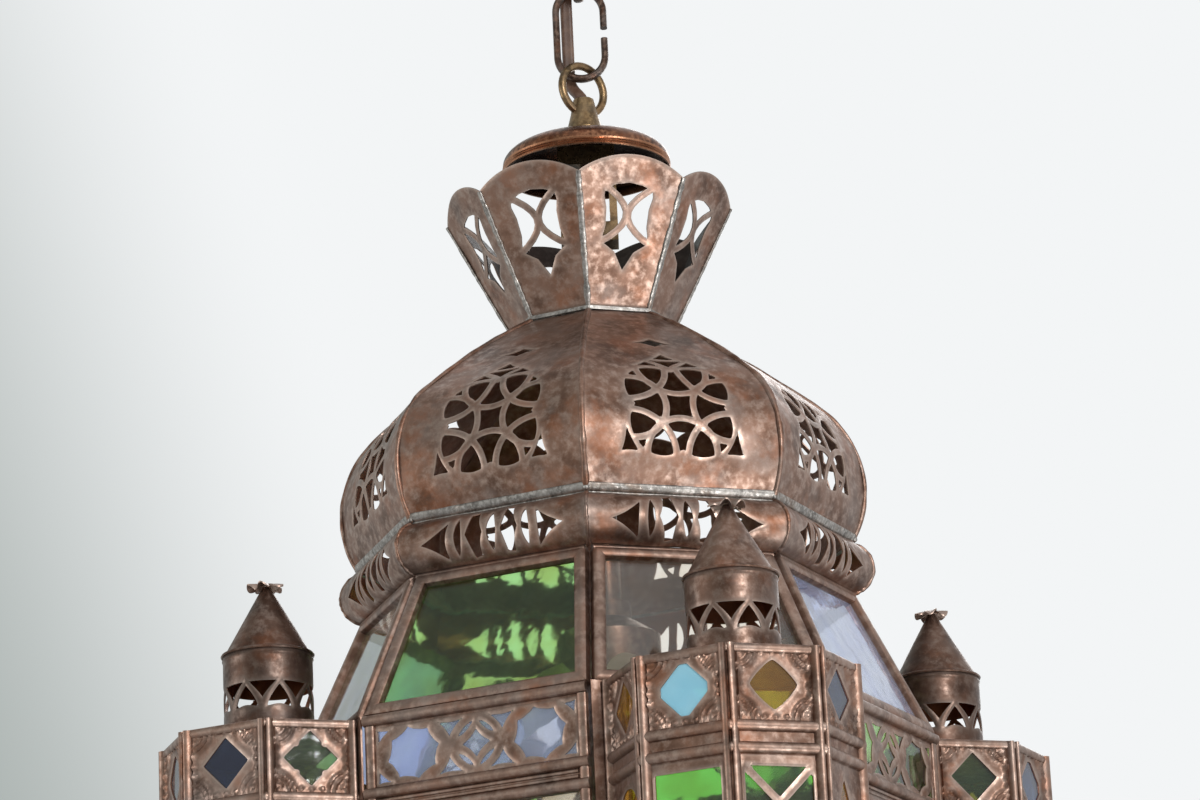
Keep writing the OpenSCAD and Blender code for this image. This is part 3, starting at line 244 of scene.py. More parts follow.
FINISH = {
    # Copper sheet, beaten and soldered, then aged: brown under grey and orange films, soft sheen
    "aged_copper": aged_metal("copper_sheet_aged", "#523b2f", "#7e6152", "#bba99d", "#935632",
        "#847a74", film_share=0.4, rough=(0.31, 0.43), rust_share=0.4, pale_share=0.35),
    # Spun copper whose oxide is rubbed through: redder, with long sharp highlights
    "polished_copper": aged_metal("copper_cap_rubbed", "#3b251b", "#704a36", "#c58f6d", "#9c5634",
        "#6f625a", film_share=0.2, metallic=0.95, rough=(0.18, 0.34), dent_mm=0.08, patch_mm=9),
    # Turned brass without lacquer: dull olive gold, brighter on its edges
    "brass_fitting": aged_metal("brass_turned_aged", "#43331f", "#80674a", "#b3966c", "#704c2c",
        "#6d6050", rough=(0.2, 0.38), dent_mm=0.05, patch_mm=8),
    # Bent steel bar, bronzed: a near black brown with small worn glints
    "chain_steel": aged_metal("steel_link_bronzed", "#2a1f1a", "#4d3b31", "#8a7465", "#7a4526",
        "#66605c", rough=(0.25, 0.5), dent_mm=0.1, patch_mm=8),
    # Tin solder run on by hand: lumpy dull grey, stained brown, with wet-looking glints
    "solder": aged_metal("tin_solder_dull", "#5f5b57", "#8f8a85", "#d2cec8", "#75583f",
        "#74716e", rough=(0.25, 0.45), dent_mm=0.35, patch_mm=7, rust_share=0.45),
    # Extruded PVC, glazed porcelain and blown glass: even, with a soft, a wet and a hard gloss
    "cord_jacket": smooth_finish("cord_pvc_extruded", "#4a3226", "#6a5141", 0.4, 8.0, 0.06),
    "socket_body": smooth_finish("socket_porcelain_glazed", "#d8cfbd", "#bdb29c", 0.28, 10.0),
    "bulb_glass": smooth_finish("bulb_glass_blown", "#f4f2ea", "#e8e4d8", 0.04, 14.0, clear=0.9),
    # Drawn sheet glass: the clear lies flat; the coloured ones bend what is seen through them, and
    # those with a smaller clear share glow milkily with the light on them
    "clear_pane": tinted_glass("glass_clear_aged", "#f2ece2", "#eadfce", 0.97, 0.02, 30.0, 0.15),
    "green_pane": tinted_glass("glass_green_drawn", "#aae594", "#a0c76c", 1.0, 0.05),
    "blue_pane": tinted_glass("glass_blue_drawn", "#64749f", "#48527c", 0.9),
    "lavender_pane": tinted_glass("glass_lavender_drawn", "#d0dcf7", "#c0cdf2", 0.8),
    "cyan_pane": tinted_glass("glass_cyan_drawn", "#a8e2f4", "#98d8ee", 0.4),
    "amber_pane": tinted_glass("glass_amber_drawn", "#cf9a38", "#a8702a", 0.85),
}
SLOT_OF = {s["node"]: s["material_slot"] for s in frame["record"]["subparts"]}
for name, node in frame["nodes"].items():
    node.data.materials.clear()
    node.data.materials.append(FINISH[SLOT_OF[name]])


# Shapes: points in mm, faces as arrays of corner numbers, and floats on the points
def shape(points, faces, wear=None, inner=None, closed=True):
    """One shape. Where a closed one's volume, the sum of its corners' products, comes out below
    zero, its faces are turned round."""
    points = np.asarray(points, float).reshape(-1, 3)
    faces = [np.asarray(f, int) for f in faces if len(f)]
    if closed:
        middle = points.mean(0)
        volume = sum(np.einsum("ij,ij->", points[f[:, 0]] - middle,
            np.cross(points[f[:, k]] - middle, points[f[:, k + 1]] - middle))
            for f in faces for k in range(1, f.shape[1] - 1))
        if volume < 0:
            faces = [f[:, ::-1] for f in faces]
    zeros = np.zeros(len(points))
    return {"points": points, "faces": faces, "wear": zeros if wear is None else wear,
            "inner": zeros if inner is None else inner}


def piece(name, shapes, stands_for=(), slot="aged_copper", body="lantern"):
    """Makes a mesh of the shapes, in metres, that stands for solids and rides on a body; edges past
    35 degrees are sharp."""
    starts = np.cumsum([0] + [len(s["points"]) for s in shapes])
    points = np.concatenate([s["points"] for s in shapes])
    faces = [f + n for s, n in zip(shapes, starts) for f in s["faces"]]
    sizes = np.concatenate([np.full(len(f), f.shape[1]) for f in faces])
    corners = np.concatenate([f.ravel() for f in faces])
    data = bpy.data.meshes.new(name)
    data.vertices.add(len(points))
    data.vertices.foreach_set("co", (points / 1000).ravel())
    data.loops.add(len(corners))
    data.loops.foreach_set("vertex_index", corners.astype(np.int32))
    data.polygons.add(len(sizes))
    data.polygons.foreach_set("loop_start", (np.cumsum(sizes) - sizes).astype(np.int32))
    data.update(calc_edges=True)
    data.validate()
    data.polygons.foreach_set("use_smooth", np.ones(len(data.polygons), bool))
    data.set_sharp_from_angle(angle=np.radians(35))
    for key in ("wear", "inner"):
        values = np.concatenate([s[key] for s in shapes])
        data.attributes.new(key, "FLOAT", "POINT").data.foreach_set(
            "value", values.astype(np.float32))
    data.materials.append(FINISH[slot])
    made = placed(name, data)
    if body:
        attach(made, body)
    if stands_for:
        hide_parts(*stands_for)
    return made


def quads(n, m, round_n=False, round_m=False):
    """The quads of a grid of n by m points; it may close on itself either way."""
    i, j = np.meshgrid(np.arange(n if round_n else n - 1), np.arange(m if round_m else m - 1),
                       indexing="ij")
    i2, j2 = (i + 1) % n, (j + 1) % m
    return np.stack([i * m + j, i2 * m + j, i2 * m + j2, i * m + j2], -1).reshape(-1, 4)


def tube(n, m, closed=False):
    """The faces of n rings of m points each, capped at both ends if the run doesn't close."""
    cap = np.arange(m)[None]
    ends = [] if closed else [cap, (n - 1) * m + cap[:, ::-1]]
    return [quads(n, m, closed, True)] + ends


def joined(edge, after, size):
    """The wall between a front's edge points and the rear's, which are numbered size further on."""
    return np.stack([edge, edge + size, after + size, after], 1)


def lathe(profile, steps=64, centre=(0.0, 0.0), wear=None):
    """A profile of radius and height turned about a plumb line. A closed profile makes a shell; an
    open one ends on the axis, where a fan of triangles closes it."""
    profile = np.asarray(profile, float)
    on_axis = profile[:, 0] < 1e-6
    ring = profile[~on_axis]
    turn = np.arange(steps) * TAU / steps
    p = np.stack([centre[0] + np.outer(np.cos(turn), ring[:, 0]),
                  centre[1] + np.outer(np.sin(turn), ring[:, 0]),
                  np.broadcast_to(ring[:, 1], (steps, len(ring)))], -1).reshape(-1, 3)
    faces = [quads(steps, len(ring), True, not on_axis.any())]
    k = np.arange(steps)
    for end, edge in ((0, 0), (-1, len(ring) - 1)):
        if on_axis[end]:
            p = np.concatenate([p, [[*centre, profile[end, 1]]]])
            fan = np.stack([k * len(ring) + edge, (k + 1) % steps * len(ring) + edge,
                            np.full(steps, len(p) - 1)], 1)
            faces.append(fan if edge else fan[:, [1, 0, 2]])
    worn = None
    if wear is not None:
        worn = np.concatenate([np.tile(np.asarray(wear)[~on_axis], steps),
                               np.zeros(len(p) - steps * len(ring))])
    return shape(p, faces, wear=worn)


def sweep(path, section, side, closed=False):
    """A closed section (across, up) carried along a path; across lies along side at each point, and
    up is square to it and to the path."""
    path, section = np.asarray(path, float), np.asarray(section, float)
    along = np.roll(path, -1, 0) - np.roll(path, 1, 0) if closed else np.gradient(path, axis=0)
    along /= np.linalg.norm(along, axis=1, keepdims=True)
    side = np.broadcast_to(np.asarray(side, float), path.shape)
    side = side - along * np.einsum("ij,ij->i", side, along)[:, None]
    side /= np.linalg.norm(side, axis=1, keepdims=True)
    up = np.cross(along, side)
    if section.ndim == 2:
        section = np.broadcast_to(section, (len(path), *section.shape))
    p = path[:, None] + side[:, None] * section[..., :1] + up[:, None] * section[..., 1:]
    return shape(p, tube(*p.shape[:2], closed))


def oval(wide, high, steps=16):
    """An ellipse's section: half the width times the cosine, half the height times the sine."""
    a = np.arange(steps) * TAU / steps
    return np.stack([wide / 2 * np.cos(a), high / 2 * np.sin(a)], 1)


def half_round(width, high, deep, steps=9):
    """A moulding's section: half an ellipse over a flat back."""
    a = np.linspace(0, np.pi, steps)
    front = np.stack([width / 2 * np.cos(a), high * np.sin(a)], 1)
    return np.concatenate([front, [[-width / 2, -deep], [width / 2, -deep]]])


# How near to a grid point a cut may pass, how far from a cut its edge droops, and how far it is worn
CUT_LEAST, DROOP_REACH, WEAR_REACH = 0.05, 0.6, 0.9


def pierced(u, v, metal, place, lift=None, thick=SHEET, soft=0.25, inner=1.0):
    """A sheet with openings. The grid (u, v) is split in triangles, and where metal, the depth
    inside the sheet's metal in mm, falls through zero, a triangle is cut on the line where it is
    zero. The front stands lift over the sheet's face and drops by soft at a cut; the back lies
    thick behind it; a wall joins them along every cut."""
    n, m = u.shape
    total = n * m
    k = np.arange(total).reshape(n, m)
    a, b, c, d = (q.ravel() for q in (k[:-1, :-1], k[1:, :-1], k[1:, 1:], k[:-1, 1:]))
    tris = np.concatenate([np.stack([a, b, c], 1), np.stack([a, c, d], 1)])
    f = metal.ravel().copy()
    near = np.abs(f) < CUT_LEAST
    f[near] = np.where(f[near] < 0, -CUT_LEAST, CUT_LEAST)
    inside = f[tris] > 0
    count = inside.sum(1)

    def from_corner(rows, first):
        """Triangles' corner numbers, turned so that each starts at its own first."""
        return rows[np.arange(len(rows))[:, None], (first[:, None] + np.arange(3)) % 3]

    one = from_corner(tris[count == 1], inside[count == 1].argmax(1))
    two = from_corner(tris[count == 2], (~inside[count == 2]).argmax(1))
    pairs = [one[:, [0, 1]], one[:, [0, 2]], two[:, [0, 1]], two[:, [0, 2]]]
    keys = [q.min(1) * total + q.max(1) for q in pairs]
    crossing, back = np.unique(np.concatenate(keys), return_inverse=True)
    low, high = crossing // total, crossing % total
    share = f[low] / (f[low] - f[high])
    e_ab, e_ac, g_ab, g_ac = np.split(back.ravel() + total,
                                      np.cumsum([len(q) for q in keys])[:-1])
    uu, vv = (np.concatenate([w, w[low] + (w[high] - w[low]) * share])
              for w in (u.ravel(), v.ravel()))
    f = np.concatenate([f, np.zeros(len(crossing))])
    thirds = np.concatenate([tris[count == 3], np.stack([one[:, 0], e_ab, e_ac], 1)])
    fours = np.stack([two[:, 1], two[:, 2], g_ac, g_ab], 1)
    rim = np.concatenate([np.stack([e_ab, e_ac], 1), np.stack([g_ac, g_ab], 1)])
    used, number = np.unique(np.concatenate([thirds.ravel(), fours.ravel()]), return_inverse=True)
    number = number.ravel()
    thirds, fours = number[:thirds.size].reshape(-1, 3), number[thirds.size:].reshape(-1, 4)
    rim = np.searchsorted(used, rim)
    uu, vv, f = uu[used], vv[used], f[used]
    h = np.zeros(len(uu)) if lift is None else lift(uu, vv)
    front = place(uu, vv, h - soft * np.exp(-(f / DROOP_REACH) ** 2))
    rear = place(uu, vv, h - thick)
    size = len(uu)
    faces = [thirds, fours, thirds[:, ::-1] + size, fours[:, ::-1] + size,
             joined(rim[:, 0], rim[:, 1], size)]
    wear = np.exp(-f / WEAR_REACH)
    return shape(np.concatenate([front, rear]), faces, wear=np.concatenate([wear, wear]),
                 inner=np.repeat([0.0, inner], size), closed=False)


def grid(u_low, u_high, v_low, v_high, step):
    """A grid one step wider than its bounds."""
    return np.meshgrid(np.arange(u_low - step, u_high + 2 * step, step),
                       np.arange(v_low - step, v_high + 2 * step, step), indexing="ij")


def shade_painted(made, share):
    """The same shape, its outside darkened by a share of painted shade."""
    made["inner"] = np.where(made["inner"] == 0, -share, made["inner"])
    return made


def hammered(seed, high=0.3, size=30.0):
    """Gentle unevenness of hand-beaten sheet: six crossing waves, each with its own direction,
    length and phase."""
    rng = np.random.default_rng(seed)
    waves = np.stack([rng.uniform(0, TAU, 6), size * rng.uniform(0.5, 1.6, 6),
                      rng.uniform(0, TAU, 6)], 1)

    def lift(u, v):
        """The sum of the waves' sines, a third of high for each at most."""
        return high / 3 * sum(np.sin((u * np.cos(a) + v * np.sin(a)) * TAU / s + p)
                              for a, s, p in waves)
    return lift


# Distances on a flat drawing, in mm: below 0 inside a figure
def disc(x, y, cx, cy, r):
    """A circle: the distance from its centre less its radius."""
    return np.hypot(x - cx, y - cy) - r


def line_strap(x, y, points, half):
    """A strap along a run of points: the distance to the nearest stretch less half its width."""
    nearest = np.full(x.shape, 1e9)
    for (ax, ay), (bx, by) in zip(points[:-1], points[1:]):
        ex, ey = bx - ax, by - ay
        t = np.clip(((x - ax) * ex + (y - ay) * ey) / (ex * ex + ey * ey), 0, 1)
        nearest = np.minimum(nearest, np.hypot(x - ax - t * ex, y - ay - t * ey))
    return nearest - half


def figure(x, y, corners, bow=0.0):
    """A polygon, whose sides bow inwards by that share of their length: the distance to its
    outline, below 0 inside it."""
    corners = np.asarray(corners, float)
    middle = corners.mean(0)
    outline = []
    for a, b in zip(corners, np.roll(corners, -1, 0)):
        t = np.linspace(0, 1, 6 if bow else 1, endpoint=False)[:, None]
        normal = np.array([a[1] - b[1], b[0] - a[0]])
        normal *= np.sign(normal @ (middle - (a + b) / 2))
        outline.append(a + (b - a) * t + normal * bow * 4 * t * (1 - t))
    outline = np.concatenate(outline)
    inside = np.zeros(x.shape, bool)
    for (ax, ay), (bx, by) in zip(outline, np.roll(outline, -1, 0)):
        if ay != by:
            inside ^= ((ay > y) != (by > y)) & (x < ax + (y - ay) * (bx - ax) / (by - ay))
    away = line_strap(x, y, np.concatenate([outline, outline[:1]]), 0)
    return np.where(inside, -away, away)


def figures(x, y, drawn):
    """The least distance to several polygons, each given with its bow."""
    return np.minimum.reduce([figure(x, y, corners, bow) for corners, bow in drawn])


def mirrored(half):
    """A whole outline from its right half, whose first and last points lie on the middle line."""
    return half + [(-x, y) for x, y in half[-2:0:-1]]


def in_sheet(u, v, half, foot, top, opening):
    """The metal's depth in a rectangle between its sides, its foot and its top, less an opening."""
    return np.minimum.reduce([half - np.abs(u), v - foot, top - v, opening])


# Places on the lantern: (x across, y up or down the face, h out of it) to the row frame
def on_side(i, x, r, z):
    """x along face i, r out from the axis and z high, turned i eighths about the axis."""
    a = i * EIGHTH
    x, r, z = np.broadcast_arrays(x, r, z)
    return np.stack([x * np.cos(a) + r * np.sin(a), x * np.sin(a) - r * np.cos(a), z], -1)


def sloped(i, r, z, lean):
    """A flat on face i whose foot is at r and z and which leans out by lean as it rises."""
    s, c = np.sin(lean), np.cos(lean)
    return lambda u, v, h: on_side(i, u, r + v * s + h * c, z + v * c - h * s)


def facet(i, k):
    """Facet k of the turret in front of face i; v is over the body's foot, and what stands out is
    widened so that it meets the next facet's."""
    def place(u, v, h):
        """The spot on facet k of a turret at the front, then turned to face i."""
        p = on_side(k, u * (1 + h / FACET_R), FACET_R + h, BODY_FOOT + v) - [0, TURRET_R, 0]
        return on_side(i, p[..., 0], -p[..., 1], p[..., 2])
    return place


LINE_POINTS = 90


def face_line(level, *arcs):
    """A face's outline from its top down, from arcs that each have a centre, a radius and their
    first and last angle from plumb: its lengths, its points and its outward normals."""
    points = []
    for (r, z), bend, start, end in arcs:
        a = np.radians(np.linspace(start, end, LINE_POINTS))
        points.append(np.stack([(r + bend * np.sin(a)) * FACE, level + z + bend * np.cos(a)], 1))
    points = np.concatenate([p if k == 0 else p[1:] for k, p in enumerate(points)])
    length = np.concatenate([[0], np.cumsum(np.hypot(*np.diff(points, axis=0).T))])
    slope = np.gradient(points, length, axis=0)
    return length, points, np.stack([-slope[:, 1], slope[:, 0]], 1)


def bent(i, line):
    """Places a drawing on face i of a bent shell: v is minus the length from the shell's top."""
    length, points, normals = line

    def place(u, v, h):
        """The line's own point at length -v, moved out along its normal by h."""
        r, z, nr, nz = (np.interp(-v, length, w) for w in (*points.T, *normals.T))
        return on_side(i, u, r + h * nr, z + h * nz)
    return place


def bent_panel(i, line, step, openings=None, gap=0.1, **more):
    """A bent sheet on face i, cut short of its corners by gap, with openings(u, v) in it."""
    length, points, _ = line
    u, v = grid(-points[:, 0].max() * SLANT, points[:, 0].max() * SLANT, -length[-1], 0, step)
    half = np.interp(-v, length, points[:, 0]) * SLANT - gap
    metal = np.minimum(np.minimum(half - np.abs(u), -v), v + length[-1])
    if openings is not None:
        metal = np.minimum(metal, openings(u, v))
    return pierced(u, v, metal, bent(i, line), **more)


def seam(i, line, width, high, seed=0, stop=(0, 0)):
    """A raised strip down the corner after face i: half an ellipse along the shell's outline, whose
    size wanders between values drawn at random at evenly spread knots."""
    length, points, _ = line
    s = np.linspace(stop[0], length[-1] - stop[1], LINE_POINTS)
    r, z = (np.interp(s, length, w) for w in points.T)
    knots = np.linspace(0, length[-1], 26)
    drawn = np.random.default_rng(seed).normal(0, 1, len(knots))
    section = half_round(width, high, 0.5) * (1 + 0.16 * np.interp(s, knots, drawn))[:, None, None]
    return sweep(on_side(i + 0.5, 0, r / FACE, z), section, on_side(i + 0.5, 1, 0, 0))


def laid(place, spot, up, top, foot=0.0):
    """A moulding from rows of spots (u, v), each row a section whose points stand up from the face.
    It is worn most where it stands at top, and not at foot."""
    n, m = spot.shape[:2]
    up = np.broadcast_to(up, (n, m))
    worn = np.clip((up - foot) / (top - foot), 0, 1) ** 3 * 0.3
    return shape(place(spot[..., 0], spot[..., 1], up), tube(n, m), wear=worn.ravel())


def bar(place, start, end, width, high, deep=SHEET, steps=2):
    """A half-round moulding on a face, from start to end (u, v), as deep behind the face as given."""
    start, end = np.asarray(start, float), np.asarray(end, float)
    along = (end - start) / np.linalg.norm(end - start)
    section = half_round(width, high, deep)
    spot = start + np.linspace(0, 1, steps)[:, None, None] * (end - start) \
        + section[None, :, :1] * [along[1], -along[0]]
    return laid(place, spot, section[:, 1], high)


def slab(place, u, v, h):
    """A block between two values of each of u, v and h."""
    q = np.array([[a, b, c] for a in u for b in v for c in h], float)
    faces = np.array([[0, 1, 3, 2], [4, 6, 7, 5], [0, 4, 5, 1], [2, 3, 7, 6], [0, 2, 6, 4],
                      [1, 5, 7, 3]])
    return shape(place(q[:, 0], q[:, 1], q[:, 2]), [faces])


# How far a face's frames and walls reach in from its outer side
FRAME_DEEP = 4.0


def rails(place, corners, width=STILE, high=1.0, edge=-0.6):
    """A mitred frame: each side runs between two outer corners and their inner ones, and its
    section is half an ellipse over a flat back."""
    corners = np.asarray(corners, float)
    ahead = np.roll(corners, -1, 0) - corners
    normal = np.stack([-ahead[:, 1], ahead[:, 0]], 1) / np.linalg.norm(ahead, axis=1)[:, None]
    before = np.roll(normal, 1, 0)
    reach = (normal + before) / (1 + np.einsum("ij,ij->i", normal, before))[:, None]
    a = np.linspace(0, np.pi, 9)
    across = np.concatenate([0.5 - 0.5 * np.cos(a), [1, 0]])
    up = np.concatenate([edge + (high - edge) * np.sin(a) ** 0.8, [-FRAME_DEEP, -FRAME_DEEP]])
    inner = corners[:, None] + width * across[:, None] * reach[:, None]
    return [laid(place, np.linspace(a, b, 4), up, high, edge)
            for a, b in zip(inner, np.roll(inner, -1, 0))]


# Suspension: canopy, chain, ring fittings and cord

# Radii of a dish's hole and of the flat round it, and the points along its curve; a fitting's ring:
# its radius, wire and height, and how far the cap's ring is turned from the chain
HOLE_R, BOSS_R, DISH_STEPS = 5.3, 8.9, 22
RING_R, RING_WIRE, RING_UP, TOP_RING_TURN = 11.65, 3.7, 25.1, np.radians(37)


def dish(r, rim, h):
    """A spun dish's closed profile: a rim, then a quarter ellipse in to its hole, and its inside."""
    a = np.linspace(0, np.pi / 2, DISH_STEPS)
    boss = BOSS_R + SHEET
    outer = np.stack([boss + (r - boss) * np.cos(a), rim + (h - rim) * np.sin(a)], 1)
    inner = np.stack([boss + (r - SHEET - boss) * np.cos(a),
                      rim + (h - SHEET - rim) * np.sin(a)], 1)
    hole = [[HOLE_R, h], [HOLE_R, h - SHEET]]
    return np.concatenate([[[r, 0]], outer, hole, inner[::-1], [[r - SHEET, 0]]])


def fitting(level, way, turn, name, body, node):
    """A turned fitting under a wire ring: flange, groove, collar and cone, each with a worn edge."""
    profile = np.array([[HOLE_R, 0], [8.5, 0], [8.9, 0.4], [8.9, 1.8], [8.5, 2.2], [7.5, 2.4],
        [7.5, 3.4], [8.0, 3.6], [8.4, 4.0], [8.4, 5.1], [8.1, 5.5], [6.2, 12.6], [4.9, 19.2],
        [4.7, 20], [4.2, 20.4], [3.4, 20.4], [3.4, 8], [HOLE_R, 8]])
    worn = np.array([0, 4, 8, 8, 4, 0, 0, 4, 8, 8, 5, 1, 5, 8, 6, 0, 0, 0]) / 20
    profile[:, 1] = level + way * profile[:, 1]
    a = np.arange(60) * TAU / 60
    across = np.array([np.cos(turn), np.sin(turn), 0])
    out = across * np.cos(a)[:, None] + np.array([0, 0, 1]) * np.sin(a)[:, None]
    ring = sweep(out * RING_R + [0, 0, level + way * RING_UP], oval(RING_WIRE, RING_WIRE, 14),
                 np.cross(across, [0, 0, 1]), closed=True)
    piece(name, [lathe(profile, 48, wear=worn), ring], [node], "brass_fitting", body)


def spun_canopy():
    """The canopy: a dish whose rim is against the ceiling."""
    low, high = span("ceiling_canopy")
    profile = dish(span("ceiling_canopy", 0)[1], 5.5, high - low)
    profile[:, 1] = high - profile[:, 1]
    return lathe(profile, 96)


fitting(span("canopy_loop")[1], -1, CHAIN_TURN + TAU / 4, "canopy_ring_fitting", "canopy",
        "canopy_loop")
fitting(span("top_loop")[0], 1, CHAIN_TURN + TOP_RING_TURN, "cap_ring_fitting", "lantern",
        "top_loop")
piece("spun_canopy", [spun_canopy()], ["ceiling_canopy"], body="canopy")

# A link's bends and straight legs, half the mouth in one leg, and its bar's half thickness with how
# far the bar's round edges stand from its middle
LINK_BEND, LINK_LEG, LINK_MOUTH, BAR_HALF, BAR_FLAT = 10.9, 22.0, 2.7, 1.6, 0.9


def link(n, turn):
    """A chain link: flattened bar along two legs and two half circles, open by a mouth in one leg."""
    a = np.linspace(0, np.pi, 24)
    x, y = LINK_BEND * np.cos(a), LINK_BEND * np.sin(a)
    run = np.concatenate([[[LINK_BEND, LINK_LEG / 2 - LINK_MOUTH]], np.stack([x, -y], 1),
        np.stack([-x, LINK_LEG + y], 1), [[LINK_BEND, LINK_LEG / 2 + LINK_MOUTH]]])
    across = np.array([np.cos(turn), np.sin(turn), 0])
    foot = span(f"chain_link_{n}")[0] + BAR_HALF + LINK_BEND
    path = across * run[:, :1] + np.array([0, 0, 1]) * (foot + run[:, 1:])
    bend = np.linspace(-np.pi / 2, np.pi / 2, 6)
    half = np.stack([BAR_FLAT + BAR_HALF * np.cos(bend), BAR_HALF * np.sin(bend)], 1)
    bar_shape = sweep(path, np.concatenate([half, -half]), np.cross(across, [0, 0, 1]))
    piece(f"link_{n}_bar", [bar_shape], [f"chain_link_{n}"], "chain_steel", f"link_{n}")


for n, turn in ((3, CHAIN_TURN), (2, CHAIN_TURN + TAU / 4), (1, CHAIN_TURN)):
    link(n, turn)

# The cord's width and the level under which it lies straight in the stem; its route, with the
# chain's turn taken off; and its lengths, each with the bodies it joins, its top and foot, and the
# levels between which it bends
CORD_WIDE, IN_STEM = 5.6, -190
CORD_ROUTE = np.array([[0, 0, -444], [0, 0, -400], [0, 0, -350], [0, 0, -300], [0, 0, -250],
    [0, 0, -200], [0, 0, -191], [-1, 0.8, -188], [-3, 2.6, -185], [-5, 4.3, -182],
    [-6, 4.9, -178], [-6, 5, -172], [-6, 5, -150], [-6, 5, -130], [-6, 5, -110], [-6, 5, -90],
    [-6, 5, -60], [-5.6, 4.8, -54], [-4, 3.6, -50], [-2, 1.8, -47], [-0.5, 0.5, -44],
    [0, 0, -41], [0, 0, -30], [0, 0, -14]], float)
CORD_LENGTHS = (("canopy", "link_3", -14, -78, -50, -66), ("link_3", "link_2", -78, -118, -90, -106),
                ("link_2", "link_1", -118, -158, -130, -146),
                ("link_1", "lantern", -158, -444, -168, -184))


def cord():
    """A flat twin cord along a smooth line through the route's points, in four lengths, each cut
    between its top and foot. Its section is two circles that run into each other."""
    low, high = CORD_ROUTE[[0, -1], 2]
    z = np.concatenate([np.arange(high, IN_STEM, -2.0), np.arange(IN_STEM, low - 1, -5.0), [low]])
    x, y = (np.interp(z, CORD_ROUTE[:, 2], w) for w in CORD_ROUTE.T[:2])
    for w in (x, y):
        w[1:-1] = (w[:-2] + 2 * w[1:-1] + w[2:]) / 4
    c, s = np.cos(CHAIN_TURN), np.sin(CHAIN_TURN)
    line = np.stack([x * c - y * s, x * s + y * c, z], 1)
    a = np.linspace(-np.pi * 0.62, np.pi * 0.62, 9)
    half = CORD_WIDE / 4 * np.stack([1 + np.cos(a), np.sin(a)], 1)
    section = np.concatenate([half, -half])
    for k, (first, second, top, foot, start, end) in enumerate(CORD_LENGTHS):
        part = line[(z <= top) & (z >= foot)]
        made = piece(f"lamp_cord_{k + 1}", [sweep(part, section, [c, s, 0])], ["lamp_cord"],
                     "cord_jacket", None)
        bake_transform(made)


cord()


# Cap over the crown
def rubbed_cap():
    """The cap: a dish with three lines rolled in its rim, which are worn, and an underside painted
    near black as shade.
    """
    rim = np.array([[37.3, 0], [38.1, 0], [38.4, 0.5], [37.9, 1.0], [38.4, 1.5], [37.9, 2.0],
                    [38.4, 2.5], [37.9, 3.0], [38.2, 3.6]])
    cap = np.concatenate([rim, dish(span("vase_cap", 0)[1], 4, CAP_TOP - CAP_RIM)[1:-1]])
    cap[:, 1] += CAP_RIM
    made = lathe(cap, 96, wear=np.where(cap[:, 1] < CAP_RIM + 4, 0.9, 0.0))
    # The underside's points get "inner" of -1: painted shade, near black
    under = np.arange(len(cap)) > len(rim) + DISH_STEPS + 1
    made["inner"] = np.tile(np.where(under, -1.0, 0.0), 96)
    return made


piece("rubbed_cap", [rubbed_cap()], ["vase_cap"], "polished_copper")


# Crown: flared panels with an arched edge, a shield and two crossing straps

# How far a panel's arch rises over its corners, and how far its sides stop short of them
ARCH, CROWN_GAP = 8.8, 0.1


def crown_openings(x, y):
    """The shield's outline, open but for two straps that bow in and meet at its middle."""
    shield = figure(x, y, mirrored([(0, 16.6), (4.4, 24.6), (10.2, 28.4), (10.6, 31.5), (9.6, 36),
        (9.9, 44), (11.4, 49.5), (11, 52.6), (6, 54.6), (0, 55.6)]))
    straps = np.minimum(*(line_strap(x, y, [(s * 12, 54.4), (s * 8, 51.6), (s * 4.5, 48.8),
        (s * 1.9, 45.8), (s * 0.5, 42.8), (s * 0.5, 39.6), (s * 1.9, 36.6), (s * 4.6, 33.6),
        (s * 8, 30.8), (s * 12.4, 28.2)], 1.5) for s in (-1, 1)))
    return np.maximum(shield, -straps)


def crown_panel(i):
    """A flat sheet leaning out, wider upwards, under an arch of a circle."""
    run, rise = (CROWN_R - NECK_R) * FACE, CROWN_TOP - CROWN_FOOT
    length = np.hypot(run, rise)
    low, high = NECK_R * EDGE - CROWN_GAP, CROWN_R * EDGE - CROWN_GAP
    bend = (high ** 2 + ARCH ** 2) / (2 * ARCH)
    u, v = grid(-high, high, 0, length + ARCH, 0.85)
    half = low + (high - low) * np.clip(v, 0, None) / length
    metal = np.minimum.reduce([half - np.abs(u), v, -disc(u, v, 0, length + ARCH - bend, bend),
                               high + 0.3 - np.abs(u), crown_openings(u, v)])
    # The inside, with "inner" of -1, is painted near black: painted shade, with some soot
    return pierced(u, v, metal, sloped(i, NECK_R * FACE, CROWN_FOOT, np.arctan2(run, rise)),
                   lift=hammered(40 + i, 0.2), inner=-1.0)


def crown_seam(i):
    """The soldered corner after panel i: a flat oval line of uneven width."""
    t = np.linspace(1, 0, 30)
    r, z = NECK_R + (CROWN_R - NECK_R) * t, CROWN_FOOT + (CROWN_TOP - CROWN_FOOT) * t
    drawn = np.random.default_rng(60 + i).normal(0, 1, (len(t), 1, 1)).clip(-1, 1)
    return sweep(on_side(i + 0.5, 0, r, z), oval(2.5, 1.4, 10) * (1 + 0.2 * drawn),
                 on_side(i + 0.5, 1, 0, 0))


piece("crown_sheets", [crown_panel(i) for i in FACES], ["crown_panels"])
piece("crown_corner_solder", [crown_seam(i) for i in FACES], slot="solder")

# Dome: an eight-sided onion of pierced sheet with soldered corners

